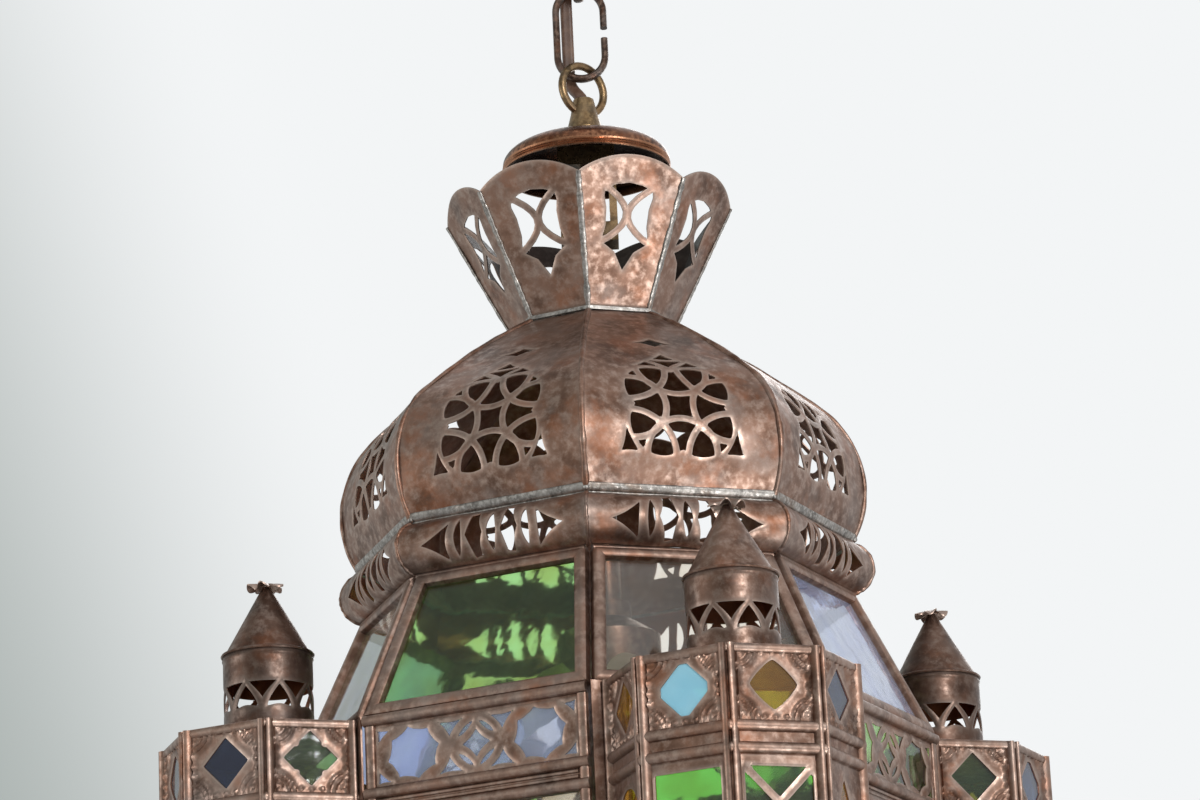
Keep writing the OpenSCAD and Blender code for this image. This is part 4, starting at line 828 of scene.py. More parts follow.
# A wide arc starts at the neck, DOME_START degrees from plumb, and meets the belly's arc where both
# lie DOME_MEET degrees from it, at a corner radius and a height over the foot; the belly's own
# centre, bend and last angle
DOME_BEND, DOME_START, DOME_MEET, MEET_R, MEET_UP = 378.4, 28.52, 40, 100.0, 61.96
BELLY_R, BELLY_UP, BELLY_BEND, BELLY_END = 69.4, 25.5, 47.6, 122.39
DOME = face_line(SEAM_Z, ((MEET_R - DOME_BEND * np.sin(np.radians(DOME_MEET)),
    MEET_UP - DOME_BEND * np.cos(np.radians(DOME_MEET))), DOME_BEND, DOME_START, DOME_MEET),
    ((BELLY_R, BELLY_UP), BELLY_BEND, DOME_MEET, BELLY_END))
# The rosette's middle down from the neck, its pitch, and half a strap
ROSETTE_DOWN, PITCH, STRAP_HALF = 99.5, 8.8, 1.45


def dome_openings(u, v):
    """Two families of circles cross in straps round a square; wedges and a kite parted by a thin
    strap stand over it, triangles beside its foot, and a diamond near the neck."""
    x, y, p = u, v + ROSETTE_DOWN, PITCH
    region = np.maximum(np.abs(x), np.abs(y)) - p
    for a in (-p, p):
        for b in (-p, p):
            region = np.minimum(region, disc(x, y, a, b, 1.62 * p))
    straps = np.full(x.shape, 1e9)
    for cx, cy in ((1, 0), (0, 1), (-1, 0), (0, -1)):
        straps = np.minimum(straps, np.abs(disc(x, y, cx * 2.47 * p, cy * 2.47 * p, 1.78 * p)))
        ax, ay = (cx + cy) * 2.65 * p, (cy - cx) * 2.65 * p
        straps = np.minimum(straps, np.abs(disc(x, y, ax, ay, 2.35 * p)))
    drawn = [([(0, 24.4), (8.2, 30.4), (0, 37.6), (-8.2, 30.4)], 0.06),
             ([(0, 45.6), (8.6, 50), (0, 54.6), (-8.6, 50)], 0.07)]
    for s in (-1, 1):
        drawn += [([(s * 2.8, 24.2), (s * 15.6, 24.8), (s * 9.4, 29.4)], 0.05),
                  ([(s * 25.2, -10.2), (s * 27.6, -21.8), (s * 19.6, -21.6)], 0.05)]
    over = np.maximum(figures(x, y, drawn), 0.6 - np.abs(y - 31.4))
    return np.minimum(np.maximum(region, STRAP_HALF - straps), over)


def solder_run(i):
    """A run of solder along the dome's foot on face i: a low uneven ridge."""
    length, points, _ = DOME
    s = np.linspace(0, 1, 60)[:, None]
    t = np.linspace(0, np.pi, 9)[None, :]
    v = -(length[-1] - 2.3 + 2.1 * np.cos(t)) * np.ones_like(s)
    half = np.interp(-v, length, points[:, 0]) * SLANT - 0.2
    drawn = np.random.default_rng(80 + i).normal(0, 1, 16)
    rough = 1 + 0.25 * np.interp(s, np.linspace(0, 1, 16), drawn).clip(-1, 1)
    place = bent(i, DOME)
    front = place((2 * s - 1) * half, v, 0.15 + 0.75 * np.sin(t) * rough)
    rear = place((2 * s - 1) * half, v, -0.3 * np.ones_like(v))
    n, m = front.shape[:2]
    size = n * m
    q = quads(n, m)
    edge = np.concatenate([np.arange(m), np.arange(2, n) * m - 1, n * m - 1 - np.arange(m),
                           np.arange(n - 2, 0, -1) * m])
    return shape(np.concatenate([front.reshape(-1, 3), rear.reshape(-1, 3)]),
        [q, q[:, ::-1] + size, joined(edge, np.roll(edge, -1), size)])


def corner_blob(i):
    """A lump of solder at the dome's corner after face i: a ball whose radius swells and shrinks
    with a few waves."""
    n, m, pole, mean = 18, 10, 0.06, 1.7
    centre = on_side(i + 0.5, 0, SEAM_R + 0.6, SEAM_Z + 1.6)
    a, b = np.meshgrid(np.arange(n) * TAU / n, np.linspace(pole, np.pi - pole, m), indexing="ij")
    rng = np.random.default_rng(i)
    swell = mean * (1 + 0.12 * np.sin(2 * a + rng.uniform(0, 6)) * np.sin(b)
                    + 0.1 * np.cos(3 * b + rng.uniform(0, 6)))
    p = np.stack([swell * np.sin(b) * np.cos(a), swell * np.sin(b) * np.sin(a),
                  swell * np.cos(b)], -1) + centre
    k = np.arange(n)[None] * m
    return shape(p, [quads(n, m, True), k[:, ::-1], k + m - 1])


def foot_bead(i):
    """A thin line of solder that closes the joint between dome and roll on face i."""
    x = np.linspace(-1, 1, 12) * SEAM_R * EDGE
    path = on_side(i, x, SEAM_R * FACE + 0.1, SEAM_Z - 0.2)
    return sweep(path, oval(1.3, 1.6, 10), on_side(i, 0.0, 1.0, 0.0))


for i in FACES:
    piece(f"dome_sheet_{i + 1}", [bent_panel(i, DOME, 1.0, dome_openings,
        lift=hammered(i, 0.35, 34), inner=0.35)], ["dome_panels"])
piece("dome_corner_seams", [seam(i, DOME, 2.6, 0.95, 20 + i, (0.2, 0.4)) for i in FACES],
      ["dome_solder"])
piece("dome_foot_solder", [make(i) for make in (solder_run, foot_bead, corner_blob)
    for i in FACES], ["dome_solder"], "solder")

# Roll: a half-round band of diamonds, leaves and end triangles

# How far it stands beyond the dome's foot, its bend with that bend's height and first angle from
# plumb, and its drawing's middle
ROLL_OUT, ROLL_BEND, ROLL_UP, ROLL_START, ROLL_MIDDLE = 9, 11.91, -11.55, 14.1, 15.3
ROLL = face_line(ROLL_TOP, ((SEAM_R + ROLL_OUT - ROLL_BEND, ROLL_UP), ROLL_BEND, ROLL_START,
    180 - ROLL_START))


def roll_openings(u, v):
    """Wide diamonds and slim leaves side by side between curved straps, a triangle at each end."""
    drawn = [([(0, 9.6), (2.3, 0), (0, -9.4), (-2.3, 0)], -0.04)]
    for s in (-1, 1):
        drawn += [([(s * 6.2, 11.8), (s * 10.2, 10.4), (s * 12.6, 0), (s * 9.6, -11.8),
                    (s * 6, -10.8), (s * 4.2, 0)], 0.05),
                  ([(s * 15.8, 8.6), (s * 18, -0.5), (s * 16.4, -9.8), (s * 14.4, -0.5)], -0.04),
                  ([(s * 20.6, 7.2), (s * 34, -1.6), (s * 21.2, -10.8)], 0.06)]
    return figures(u, v + ROLL_MIDDLE, drawn)


piece("roll_sheets", [bent_panel(i, ROLL, 0.8, roll_openings, lift=hammered(100 + i, 0.2, 20))
    for i in FACES], ["roll_panels"])
piece("roll_corner_seams", [seam(i, ROLL, 1.8, 0.7, 140 + i, (0.4, 0.4)) for i in FACES])


# Sloped frames over and under the walls
def sloped_frames(low, high, node, lip=()):
    """On each face a frame from corner radius low up to corner radius high, between the levels of
    its solid, and bars on it. Its sides stop where the depths of two faces' frames would meet, and
    its slope ends a hair short."""
    foot, top = span(node)
    half_low, half_high = (round(r * EDGE - FRAME_DEEP * SLANT, 2) for r in (low, high))
    run, rise = (high - low) * FACE, top - foot
    slope = round(np.hypot(run, rise) - 0.07, 2)
    outline = [(-half_low, 0), (half_low, 0), (half_high, slope), (-half_high, slope)]
    made = []
    for i in FACES:
        place = sloped(i, low * FACE, foot, np.arctan2(run, rise))
        made += rails(place, outline) + [bar(place, *line, steps=8) for line in lip]
    return made


piece("shoulder_rails", sloped_frames(BODY_R, SEAM_R, "shoulder_frames",
    [((-40.3, 70.6), (40.3, 70.6), 2.4, 0.9, 2.5)]), ["shoulder_frames"])
piece("foot_rails", sloped_frames(FOOT_R, BODY_R, "foot_frames"), ["foot_frames"])

# Foot: a half-round ring, a pierced bowl and a turned finial

# The ring's arc passes through its solid's levels and stands RING_OUT beyond them
RING_HALF = (RING_TOP - RING_FOOT) / 2
RING_BEND = (RING_HALF ** 2 + RING_OUT ** 2) / (2 * RING_OUT)
RING_ARC = np.degrees(np.arcsin(RING_HALF / RING_BEND))
RING = face_line(RING_TOP, ((FOOT_R + RING_OUT - RING_BEND, -RING_HALF), RING_BEND,
    90 - RING_ARC, 90 + RING_ARC))
# The bowl's arc runs down from the ring and in to a hole, level where it ends; its drawing's middle
HOLE_CORNER, BOWL_MIDDLE = 13, 30
BOWL_TOP = RING_FOOT - SEAT
BOWL_IN, BOWL_DEEP = FOOT_R - HOLE_CORNER, BOWL_TOP - BOWL_FOOT
BOWL_BEND = (BOWL_DEEP ** 2 + BOWL_IN ** 2) / (2 * BOWL_DEEP)
BOWL = face_line(BOWL_TOP, ((HOLE_CORNER, BOWL_BEND - BOWL_DEEP), BOWL_BEND,
    180 - 2 * np.degrees(np.arctan2(BOWL_DEEP, BOWL_IN)), 180))


def bowl_openings(u, v):
    """One turned square, a small drop under it and a leaf at each side."""
    drawn = [([(0, 6.5), (6.2, 0), (0, -6.5), (-6.2, 0)], 0.08),
             ([(0, -11), (2.2, -15), (0, -19), (-2.2, -15)], -0.05)]
    for s in (-1, 1):
        drawn += [([(s * 9, 5), (s * 13, 10), (s * 15, 16), (s * 9.5, 12)], -0.03)]
    return figures(u, v + BOWL_MIDDLE, drawn)


def finial():
    """The finial: a flange, a groove, a ball and a small button under it."""
    a = np.linspace(0.48, np.pi - 0.4, 18)
    ball, down = 11, 14
    profile = np.concatenate([[[0, 0], [14.4, 0], [15, -0.6], [15, -2.4], [14.4, -3], [8, -3.2],
        [5.2, -3.9]], np.stack([ball * np.sin(a), ball * np.cos(a) - down], 1),
        [[4.2, -25.4], [5.5, -26.2], [5.6, -27], [4.8, -28], [2.6, -30.2], [1.9, -30.45],
        [0, -30.5]]])
    profile[:, 1] += span("foot_finial")[1]
    return lathe(profile, 48)


piece("foot_ring_band", [bent_panel(i, RING, 1.4, lift=hammered(120 + i, 0.15, 20))
    for i in FACES], ["foot_ring"])
piece("foot_bowl_sheets", [bent_panel(i, BOWL, 1.2, bowl_openings,
    lift=hammered(130 + i, 0.15, 20)) for i in FACES], ["foot_bowl"])
piece("turned_finial", [finial()], ["foot_finial"], "polished_copper")


# Walls: stiles, mouldings and pierced bands round a tall pane

# Up a wall from its foot: flat members; mouldings, with how far each stands out, the upper three
# like the lower; thin lines; and the feet of the pierced bands, with a band's height
MEMBERS = ((0, 6), (31, 45), (145, 159), (184, WALL_HIGH))
MOULDINGS = ((2.5, 2.3), (33.5, 2.5), (42.6, 2.5))
MOULDINGS += tuple((WALL_HIGH - v, high) for v, high in MOULDINGS[::-1])
THIN_LINES, BAND_FEET, BAND_HIGH = (36.9, 39.2, 150.8, 153.1), (6, 159), 25


def leaf(a, b, wide):
    """A slim leaf between two points."""
    a, b = np.array(a, float), np.array(b, float)
    out = np.array([a[1] - b[1], b[0] - a[0]]) / np.linalg.norm(b - a) * wide / 2
    return [a, (a + b) / 2 + out, b, (a + b) / 2 - out], -0.06


def lattice_openings(x, y):
    """Two eight-pointed openings with scalloped sides; between them a small diamond framed by
    crossing straps; half triangles over and under, and a triangle in each corner."""
    drawn = [([(0, 6.3), (6.9, 0), (0, -6.3), (-6.9, 0)], 0.09)]
    for s in (-1, 1):
        a = (np.arange(16) + 0.5) * TAU / 16
        r = np.where(np.arange(16) % 2 == 0, 11.6, 10.0)
        star = np.stack([s * 29.5 + 1.08 * r * np.cos(a), r * np.sin(a)], 1)
        drawn.append((star, 0.07))
        for t in (-1, 1):
            drawn += [leaf((s * 1.2, t * 9.6), (s * 8.6, t * 3.4), 2.0),
                      ([(s * 5.4, t * 11.4), (s * 18.4, t * 11.4), (s * 12.4, t * 4.2)], 0.08),
                      ([(s * 46.4, t * 11.4), (s * 39.2, t * 11.4), (s * 46.4, t * 5.2)], 0.08)]
    return figures(x, y, drawn)


def lattice(place, low):
    """A pierced band of a wall, its foot at low, lapped a little over the members round it."""
    half, foot, top = WINDOW_HALF + 1, low - 0.5, low + BAND_HIGH + 0.5
    u, v = grid(-half, half, foot, top, 0.75)
    metal = in_sheet(u, v, half, foot, top, lattice_openings(u, v - low - BAND_HIGH / 2))
    return pierced(u, v, metal, lambda u, v, h: place(u, v, h - 0.15), soft=0.4)


def wall(i):
    """Four flat members round the openings, half-round stiles, six mouldings and two bands."""
    place = sloped(i, BODY_FACE, BODY_FOOT, 0.0)
    made = [slab(place, (s * WINDOW_HALF, s * WALL_HALF), (0, WALL_HIGH), (-FRAME_DEEP, -0.5))
            for s in (-1, 1)]
    made += [slab(place, (-WINDOW_HALF, WINDOW_HALF), member, (-FRAME_DEEP, -0.4))
             for member in MEMBERS]
    stile = WALL_HALF - 2.56
    made += [bar(place, (s * stile, 5), (s * stile, WALL_HIGH - 5), width=4.6, high=1.2, steps=12)
             for s in (-1, 1)]
    made += [bar(place, (-WALL_HALF, v), (WALL_HALF, v), width=4.9, high=high, deep=1, steps=12)
             for v, high in MOULDINGS]
    made += [bar(place, (-WINDOW_HALF, v), (WINDOW_HALF, v), width=1.6, high=0.5, steps=10)
             for v in THIN_LINES]
    return made + [lattice(place, low) for low in BAND_FEET]


for i, name in ((0, "front"), (2, "right"), (6, "left")):
    piece(f"wall_{name}_worked", wall(i), [f"wall_{name}"])

# Door wall: the jamb carries knuckles and a button's pin; the leaf lies in its window

# Places on the back face, seen from outside, so across is against the frame's own x. The pins' box
# gives the hinges' line and their outer ends, and each hinge has three knuckles in a row; then the
# leaf, its button and its knob, and how wide a hinge's flats are
HINGE_X = -sum(span("door_hinge_pins", 0)) / 2
HINGE_LIFT = round(sum(span("door_hinge_pins", 1)) / 2 - BODY_FACE, 1)
PIN_FOOT, PIN_HEAD = (z - BODY_FOOT for z in span("door_hinge_pins"))
KNUCKLE, KNUCKLE_GAP, KNUCKLE_R, PIN_BORE = 9, 0.2, 2.3, 1.06
DOOR_HALF = -span("door_frame", 0)[0]
DOOR_FOOT, DOOR_HEAD = (z - BODY_FOOT for z in span("door_frame"))
BUTTON_AT = (-sum(span("door_button", 0)) / 2, WALL_HIGH / 2)
KNOB_AT, FLAT_WIDE = (DOOR_HALF - STILE / 2, 78.33), 5
back = sloped(4, BODY_FACE, BODY_FOOT, 0.0)


def knuckle(ends):
    """A turned barrel along the door's wall between two levels, with broken edges and a bore."""
    (low, high), r, edge = ends, KNUCKLE_R, 0.25
    barrel = lathe([[PIN_BORE, low], [r - edge, low], [r, low + edge], [r, high - edge],
                    [r - edge, high], [PIN_BORE, high]], 28)
    p = barrel["points"]
    return shape(back(HINGE_X + p[:, 0], p[:, 2], HINGE_LIFT + p[:, 1]), barrel["faces"])


def knuckles(own, wide):
    """One side's knuckles of both hinges, each with a flat that reaches wide across from the pin."""
    made = []
    for first in (PIN_FOOT, PIN_HEAD - 3 * KNUCKLE):
        for step in own:
            ends = (first + step * KNUCKLE, first + (step + 1) * KNUCKLE - KNUCKLE_GAP)
            made += [knuckle(ends), slab(back, (HINGE_X, HINGE_X + wide), ends, (-0.3, 1.6))]
    return made


def stud(profile, spot):
    """A turned stud that stands out of the door's wall at a spot (u, v)."""
    made = lathe(profile, 24)
    p = made["points"]
    return shape(back(spot[0] + p[:, 0], spot[1] + p[:, 1], p[:, 2]), made["faces"])


def button():
    """A rounded plate about its pin, wider under it, in four outlines that give it its thickness
    and broken edges."""
    a = np.linspace(0, np.pi, 15)
    top_r, foot_r, reach, broken = 2.5, 3, 10, 0.25
    outline = np.concatenate([np.stack([top_r * np.cos(a), reach + top_r * np.sin(a)], 1),
                              np.stack([-foot_r * np.cos(a), -foot_r * np.sin(a)], 1)])
    inset = outline - [0, reach / 2]
    inset *= 1 - broken / np.linalg.norm(inset, axis=1, keepdims=True)
    inset += [0, reach / 2]
    layers = ((inset, 0.3), (outline, 0.5), (outline, 1.5), (inset, 1.7))
    p = np.concatenate([back(BUTTON_AT[0] + q[:, 0], BUTTON_AT[1] + q[:, 1], np.full(len(q), h))
                        for q, h in layers])
    return shape(p, tube(len(layers), len(outline)))


button_pin = [[0, -0.5], [1.5, -0.5], [1.5, 1.85], [2.2, 1.85], [2.4, 2.05], [2.3, 2.5],
              [1.5, 2.8], [0, 2.85]]
knob = [[0, 0.1], [2.6, 0.1], [2.6, 0.7], [1.7, 1.3], [1.5, 5.2], [2.3, 5.7], [3.1, 7.2],
        [3.2, 8.4], [2.7, 10], [1.5, 11], [0, 11.2]]
door_outline = [(-DOOR_HALF, DOOR_FOOT), (DOOR_HALF, DOOR_FOOT), (DOOR_HALF, DOOR_HEAD),
                (-DOOR_HALF, DOOR_HEAD)]
piece("door_jamb_worked", wall(4) + knuckles((0, 2), -FLAT_WIDE)
      + [stud(button_pin, BUTTON_AT)], ["door_jamb"])
piece("door_leaf", rails(back, door_outline, high=0.3, edge=-0.5) + knuckles((1,), FLAT_WIDE),
      ["door_frame"], body="door")
piece("door_knob_turned", [stud(knob, KNOB_AT)], ["door_knob"], "brass_fitting", "door")
piece("door_turn_button", [button()], ["door_button"], "brass_fitting", "door_button")

# Turrets: five worked facets between vertical beads, crossed by mouldings

# Across a facet: half its pierced sheet and how far its grid reaches on, the inside of its upright
# slabs, its rails' middle, and how far mouldings reach on beside the walls; and across the body's
# face, where the turret's flanges end
SHEET_HALF, MARGIN, SLAB_IN, RAIL_AT, REACH_ON, FLANGE_END = 17.2, 0.2, 17, 17.45, 1.1, 53.8
# Up a facet: the feet of the two rows of square cells, with a cell's middle over its foot and half
# its sheet; the middle of the tall row and half its sheet; plain bands; mouldings, with how wide
# they are and how far they stand out
LOW_ROW, TOP_ROW, CELL_MIDDLE, CELL_HALF = 3.25, 160.25, 13.25, 15.65
TALL_MIDDLE, TALL_HALF = 95, 50.4
PLAIN_BANDS = ((30, 45.2), (144.8, 160))
TURRET_MOULDINGS = ((2.4, 4.8, 1.3), (33.5, 5, 2.1), (42.5, 5, 2.1), (147.5, 5, 2.1),
                    (156.5, 5, 2.1), (188, 3.9, 1.3))
# The cuts of the five facets in the top row and in the tall row; the low row takes the first in
# the opposite order
CUTS = ("plain", "clipped", "round", "plain", "notched")
TALL_CUTS = ("arched", "light", "crossed", "column", "arched")


def cell(place, low, kind):
    """A square cell: a diamond in one of four cuts between embossed double arcs and beads."""
    middle = low + CELL_MIDDLE
    u, v = grid(-SHEET_HALF - MARGIN, SHEET_HALF + MARGIN, middle - CELL_HALF - MARGIN,
                middle + CELL_HALF + MARGIN, 0.8)
    x, y = np.abs(u), np.abs(v - middle)
    diamond = (x + y) / np.sqrt(2)
    opening = {"plain": diamond - 7.8,
               "notched": np.maximum(diamond - 8.4, 1.3 - np.hypot(x - 6.2, y - 6.2)),
               "round": (x ** 1.2 + y ** 1.2) ** (1 / 1.2) - 10.2,
               "clipped": np.maximum(diamond - 8.8, np.maximum(x, y) - 10.6)}[kind]
    metal = in_sheet(u, v, SHEET_HALF, middle - CELL_HALF, middle + CELL_HALF, opening)

    def lift(u, v):
        """Ridges in two arcs about each corner, round studs and a line along each side."""
        x, y = np.abs(u), np.abs(v - middle)
        away = np.hypot(x - 16, y - 14.4)
        ridges = sum(np.exp(-((away - r) / 0.65) ** 2) for r in (6.4, 8.8))
        studs = sum(np.exp(-(((x - a) ** 2 + (y - b) ** 2) / 1.3) ** 2)
                    for a, b in ((13.4, 12.2), (14.8, 4.2), (4.6, 13.2), (14.8, 0), (0, 13.4)))
        line = np.exp(-((x - 14.9) / 0.5) ** 2)
        return 0.85 * np.clip(ridges + line, 0, 1) + 0.95 * np.clip(studs, 0, 1) - 0.1
    return pierced(u, v, metal, place, lift=lift, soft=0.3)


def tall_cell(place, kind):
    """The tall middle row: crossing straps, an arch, a plain light or a column of diamonds."""
    wide, high, arch_r = 14.4, 45.4, 11.5
    foot, top = TALL_MIDDLE - TALL_HALF, TALL_MIDDLE + TALL_HALF
    u, v = grid(-SHEET_HALF - MARGIN, SHEET_HALF + MARGIN, foot - MARGIN / 2, top + MARGIN / 2, 1.1)
    x, y = u, v - TALL_MIDDLE
    opening = np.maximum(np.abs(x) - wide, np.abs(y) - high)
    if kind == "crossed":
        straps = np.minimum(*(line_strap(x, y, [(s * -15, -46), (s * 15, -15.4), (s * -15, 15.3),
            (s * 15, 46)], 1.6) for s in (-1, 1)))
        opening = np.maximum(opening, -straps)
    elif kind == "arched":
        arch = np.minimum(y - 34, disc(x, y, 0, 33.5, arch_r))
        opening = np.maximum(np.abs(x) - arch_r, np.maximum(-high - y, arch))
    elif kind == "column":
        opening = np.minimum.reduce([(np.abs(x) * 1.9 + np.abs(y - c)) / 2.1 - 6.2
                                     for c in (-31, 0, 31)])
    metal = in_sheet(u, v, SHEET_HALF, foot, top, opening)

    def lift(u, v):
        """A raised line round the opening."""
        x, y = np.abs(u), np.abs(v - TALL_MIDDLE)
        return 0.6 * np.exp(-((np.maximum(x - 14.9, y - 46.7) / 0.55) ** 2))
    return pierced(u, v, metal, place, lift=lift, soft=0.3)


def turret(i):
    """The facets' cells, their upright half-round rails in pairs at each corner, six mouldings
    round, wall flanges and two six-cornered end plates."""
    made = []
    for k in range(5):
        place = facet(i, k - 2)
        ends = (-FACET_HALF - REACH_ON * (k == 0), FACET_HALF + REACH_ON * (k == 4))
        made += [cell(place, TOP_ROW, CUTS[k]), cell(place, LOW_ROW, CUTS[4 - k]),
                 tall_cell(place, TALL_CUTS[k])]
        made += [bar(place, (ends[0], v), (ends[1], v), wide, high, steps=5)
                 for v, wide, high in TURRET_MOULDINGS]
        made += [slab(place, ends, band, (-SHEET, 0.1)) for band in PLAIN_BANDS]
        made += [slab(place, (s * SLAB_IN, s * FACET_HALF), (0, WALL_HIGH), (-SHEET, 0))
                 for s in (-1, 1)]
        made += [bar(place, (s * RAIL_AT, 0.4), (s * RAIL_AT, WALL_HIGH - 0.4), width=3.5,
                     high=2.5, steps=16) for s in (-1, 1)]
    flat = sloped(i, BODY_FACE - SHEET, BODY_FOOT, 0.0)
    made += [slab(flat, (s * (FACET_R - SHEET), s * FLANGE_END), (0, WALL_HIGH), (0, SHEET))
             for s in (-1, 1)]
    a, r, wall_r, thick = FACET_R, TURRET_R, 130.1, 1.2
    bay = np.array([[-a, wall_r], [a, wall_r], [a, r + FACET_HALF], [FACET_HALF, r + a],
                    [-FACET_HALF, r + a], [-a, r + FACET_HALF]])
    for low in (BODY_FOOT, BODY_TOP - thick):
        p = np.concatenate([on_side(i, bay[:, 0], bay[:, 1], z) for z in (low, low + thick)])
        made.append(shape(p, tube(2, len(bay))))
    return made


for n, i in enumerate(TURRETS):
    piece(f"turret_{n + 1}_worked", turret(i), [f"turret_frame_{n + 1}"])

# Turret caps: a strapped drum, a cone, a crumpled flower and a drop

# The drum's radius, foot and height; up it, the foot of its straps and their height, the foot of
# its openings and of its collar
DRUM_R, DRUM_FOOT, DRUM_HIGH = 19.6, span("turret_caps")[0], 38
STRAP_FOOT, STRAP_HIGH, OPEN_FOOT, COLLAR_FOOT = 11.5, 12, 12.8, 23.6
CONE_FOOT, FLOWER_FOOT = span("turret_cones")[0], span("turret_flowers")[0]
DROP_TOP = span("turret_drops")[1]


def cap_axis(i, r=CAP_AXIS_R):
    """The axis of a turret's cap, or of another part r out, in front of face i."""
    return on_side(i, 0, r, 0)[:2]


def drum(i):
    """The drum's wall unrolled: eight pointed arches of strap between a scalloped band and a plain
    collar; rolled lines at its foot and top."""
    pitch = TAU * DRUM_R / 8
    cx, cy = cap_axis(i)
    u, v = np.meshgrid(np.linspace(0, TAU * DRUM_R, 161), np.arange(-0.5, DRUM_HIGH + 1, 0.75),
                       indexing="ij")
    x = (u + pitch / 2) % pitch - pitch / 2
    up = np.clip((v - STRAP_FOOT) / STRAP_HIGH, 0, 1)
    lean = np.abs(x) - pitch / 2 * (1 - up ** 1.6)
    strap = 1.7 - 0.5 * up - np.abs(lean) * 0.85
    scallop = OPEN_FOOT + 0.6 * np.cos(x / pitch * TAU)
    metal = np.maximum.reduce([strap, scallop - v, v - COLLAR_FOOT])
    metal = np.minimum.reduce([metal, v, DRUM_HIGH - v])

    def place(u, v, h):
        """The spot at length u round the drum, v up it and h out of its wall."""
        a, r = u / DRUM_R, DRUM_R + h
        return np.stack([cx + r * np.sin(a), cy - r * np.cos(a), DRUM_FOOT + v], -1)

    def lift(u, v):
        """Two rolled lines."""
        return 0.4 * sum(np.exp(-((v - z) / 0.5) ** 2) for z in (1.5, 36.4)) - 0.3
    # Painted shade on the drum's outside, darker than on the cone, least on the cap the light falls on
    return shade_painted(pierced(u, v, metal, place, lift=lift), 0.4 if i == LIT_TURRET else 0.62)


def cone(i):
    """The cone over the drum: a bent shoulder, then a straight side whose radius swells by a sine of
    three times the angle, most at half its height."""
    centre = cap_axis(i)
    s = np.linspace(0, 1, 16)
    side = np.stack([17.3 - 15.7 * s, 3.0 + 28.0 * s], 1)
    profile = np.concatenate([[[0, 28.8], [17.2, -0.1], [18.4, -0.2], [19.9, -0.2], [20.2, 0.3],
        [19.9, 0.8], [19.2, 1.1], [18.0, 1.5]], side, [[1.0, 31.2], [0, 31.2]]])
    profile[:, 1] += CONE_FOOT
    made = lathe(profile, 56, centre)
    p = made["points"]
    out = p[:, :2] - centre
    low = np.clip((p[:, 2] - CONE_FOOT - 1.8) / 30, 0, 1)
    swell = 1 + 0.012 * np.sin(3 * np.arctan2(out[:, 1], out[:, 0]) + i) * np.sin(np.pi * low)
    p[:, :2] = centre + out * swell[:, None]
    # Painted shade on the cone's outside, least on the cap the light falls on
    return shade_painted(made, 0.1 if i == LIT_TURRET else 0.42)


def flower(i):
    """A thin flower: its radius swells into five petals that droop and crumple outwards."""
    cx, cy = cap_axis(i)
    n, m = 80, 12
    a, t = np.meshgrid(np.arange(n) * TAU / n, np.linspace(0.02, 1, m), indexing="ij")
    rng = np.random.default_rng(200 + i)
    lobe = np.abs(np.cos(2.5 * a))
    r = t * (3.2 + 4.9 * lobe ** 0.55 + 0.3 * np.sin(5 * a + rng.uniform(0, 6)))
    droop = 2.6 * t ** 2 * (0.4 + 0.6 * np.sin(2.5 * a + rng.uniform(0, 6)) ** 2)
    crumple = 0.9 * t ** 2 * np.sin(7 * a + rng.uniform(0, 6))
    z = FLOWER_FOOT + 1.5 - droop + crumple
    top = np.stack([cx + r * np.cos(a), cy + r * np.sin(a), z], -1).reshape(-1, 3)
    q = quads(n, m, True)
    k = np.arange(n) * m
    rim, size = k + m - 1, len(top)
    return shape(np.concatenate([top, top - [0, 0, 0.6]]), [q, q[:, ::-1] + size, k[None, ::-1],
        k[None] + size, joined(rim, np.roll(rim, -1), size)],
        wear=np.tile(np.linspace(0, 0.9, m), 2 * n))


def drop(i):
    """The drop under a turret: an upturned cone with a rolled rim, a neck and a ball."""
    a = np.linspace(0.35, np.pi, 16)[1:]
    ball, down = 6.53, 24.5
    profile = np.concatenate([[[0, 0], [19.2, 0], [19.6, -0.4], [19.5, -1.2], [18.6, -1.8],
        [12, -9.6], [6, -17], [4.9, -18.6], [4.9, -19.4]],
        np.stack([ball * np.sin(a), ball * np.cos(a) - down], 1)])
    profile[-1, 0] = 0
    profile[:, 1] += DROP_TOP
    return lathe(profile, 48, cap_axis(i, DROP_AXIS_R))


for name, make, node in (("turret_cap_drums", drum, "turret_caps"),
                         ("turret_cap_cones", cone, "turret_cones"),
                         ("turret_cap_flowers", flower, "turret_flowers"),
                         ("turret_foot_drops", drop, "turret_drops")):
    piece(name, [make(i) for i in TURRETS], [node])


# Studio: pale surroundings, soft lamps and a pale floor

# The way from the object to the room's dark side; soft round lamps, each with its place and width in
# m and its power in W; and the floor's radius and level in m
DARK_SIDE = (-0.894, -0.334, -0.287)
LAMPS = (("soft_key", (1.95, -1.65, 0.4), 0.8, 34), ("soft_low", (1.72, -0.73, -1.44), 0.9, 17),
         ("soft_fill", (-1.9, -1.3, -0.4), 1.4, 12), ("soft_back", (-0.6, 2.2, 0.4), 1.4, 16))
LAMP_AIM, FLOOR_R, FLOOR_Z = (0, 0, -0.5), 4, -2.3


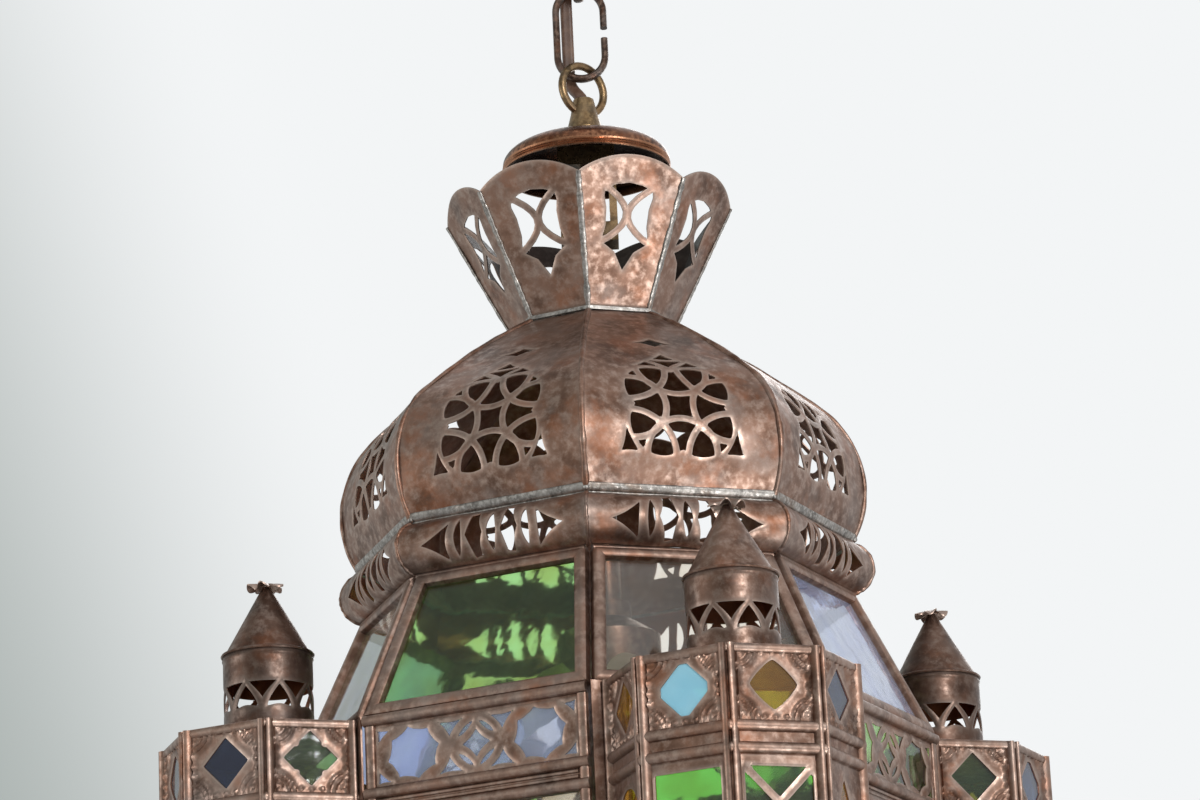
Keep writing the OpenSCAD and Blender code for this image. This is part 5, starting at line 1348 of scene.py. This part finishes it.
def studio():
    """World: plain even light on the object; what is seen or mirrored is a white room that falls to
    grey towards its low left side, and to a paler grey past it, by the ray's share of that way."""
    world = bpy.data.worlds.new("studio")
    bpy.context.scene.world = world
    world.use_nodes = True
    tree = world.node_tree
    tree.nodes.clear()
    ray = add(tree, "ShaderNodeLightPath").outputs
    seen = ray["Is Camera Ray"]
    for kind in ("Is Glossy Ray", "Is Transmission Ray"):
        seen = add(tree, "ShaderNodeMath", {0: seen, 1: ray[kind]}, operation="MAXIMUM").outputs[0]
    way = add(tree, "ShaderNodeTexCoord").outputs["Generated"]
    left = add(tree, "ShaderNodeVectorMath", {0: way, 1: DARK_SIDE},
        operation="DOT_PRODUCT").outputs["Value"]
    tone = "#f3f5f6"
    for start, end, code in ((0.05, 0.18, "#a7afac"), (0.22, 0.6, "#dbdfdd")):
        share = add(tree, "ShaderNodeMapRange", {"Value": left, "From Min": start,
            "From Max": end}, interpolation_type="SMOOTHSTEP").outputs["Result"]
        tone = add(tree, "ShaderNodeMix", {0: share, 6: tone, 7: code},
            data_type="RGBA").outputs[2]
    room = add(tree, "ShaderNodeBackground", {"Color": tone, "Strength": 1.0})
    light = add(tree, "ShaderNodeBackground", {"Color": "#f4f6f8", "Strength": 0.55})
    both = add(tree, "ShaderNodeMixShader", {0: seen, 1: light.outputs[0], 2: room.outputs[0]})
    add(tree, "ShaderNodeOutputWorld", {"Surface": both.outputs[0]})
    for name, spot, wide, power in LAMPS:
        data = bpy.data.lights.new(name, "AREA")
        data.shape, data.size, data.energy = "DISK", wide, power
        lamp = placed(name, data)
        lamp.location = spot
        lamp.visible_camera = lamp.visible_transmission = False
        aim = Vector(LAMP_AIM) - Vector(spot)
        lamp.rotation_euler = aim.to_track_quat("-Z", "Y").to_euler()


def floor():
    """A wide disc under the lantern, in matt plaster."""
    turn = np.arange(96) * TAU / 96
    points = np.stack([FLOOR_R * np.cos(turn), FLOOR_R * np.sin(turn), np.full(96, FLOOR_Z)], 1)
    data = bpy.data.meshes.new("floor")
    data.from_pydata(points.tolist(), [], [list(range(96))])
    data.materials.append(smooth_finish("floor_plaster_matt", "#e9ecec", "#e6e9e9", 0.8,
        60.0, 0.2))
    placed("floor", data)


studio()
floor()
bpy.context.scene.view_settings.view_transform = "Standard"
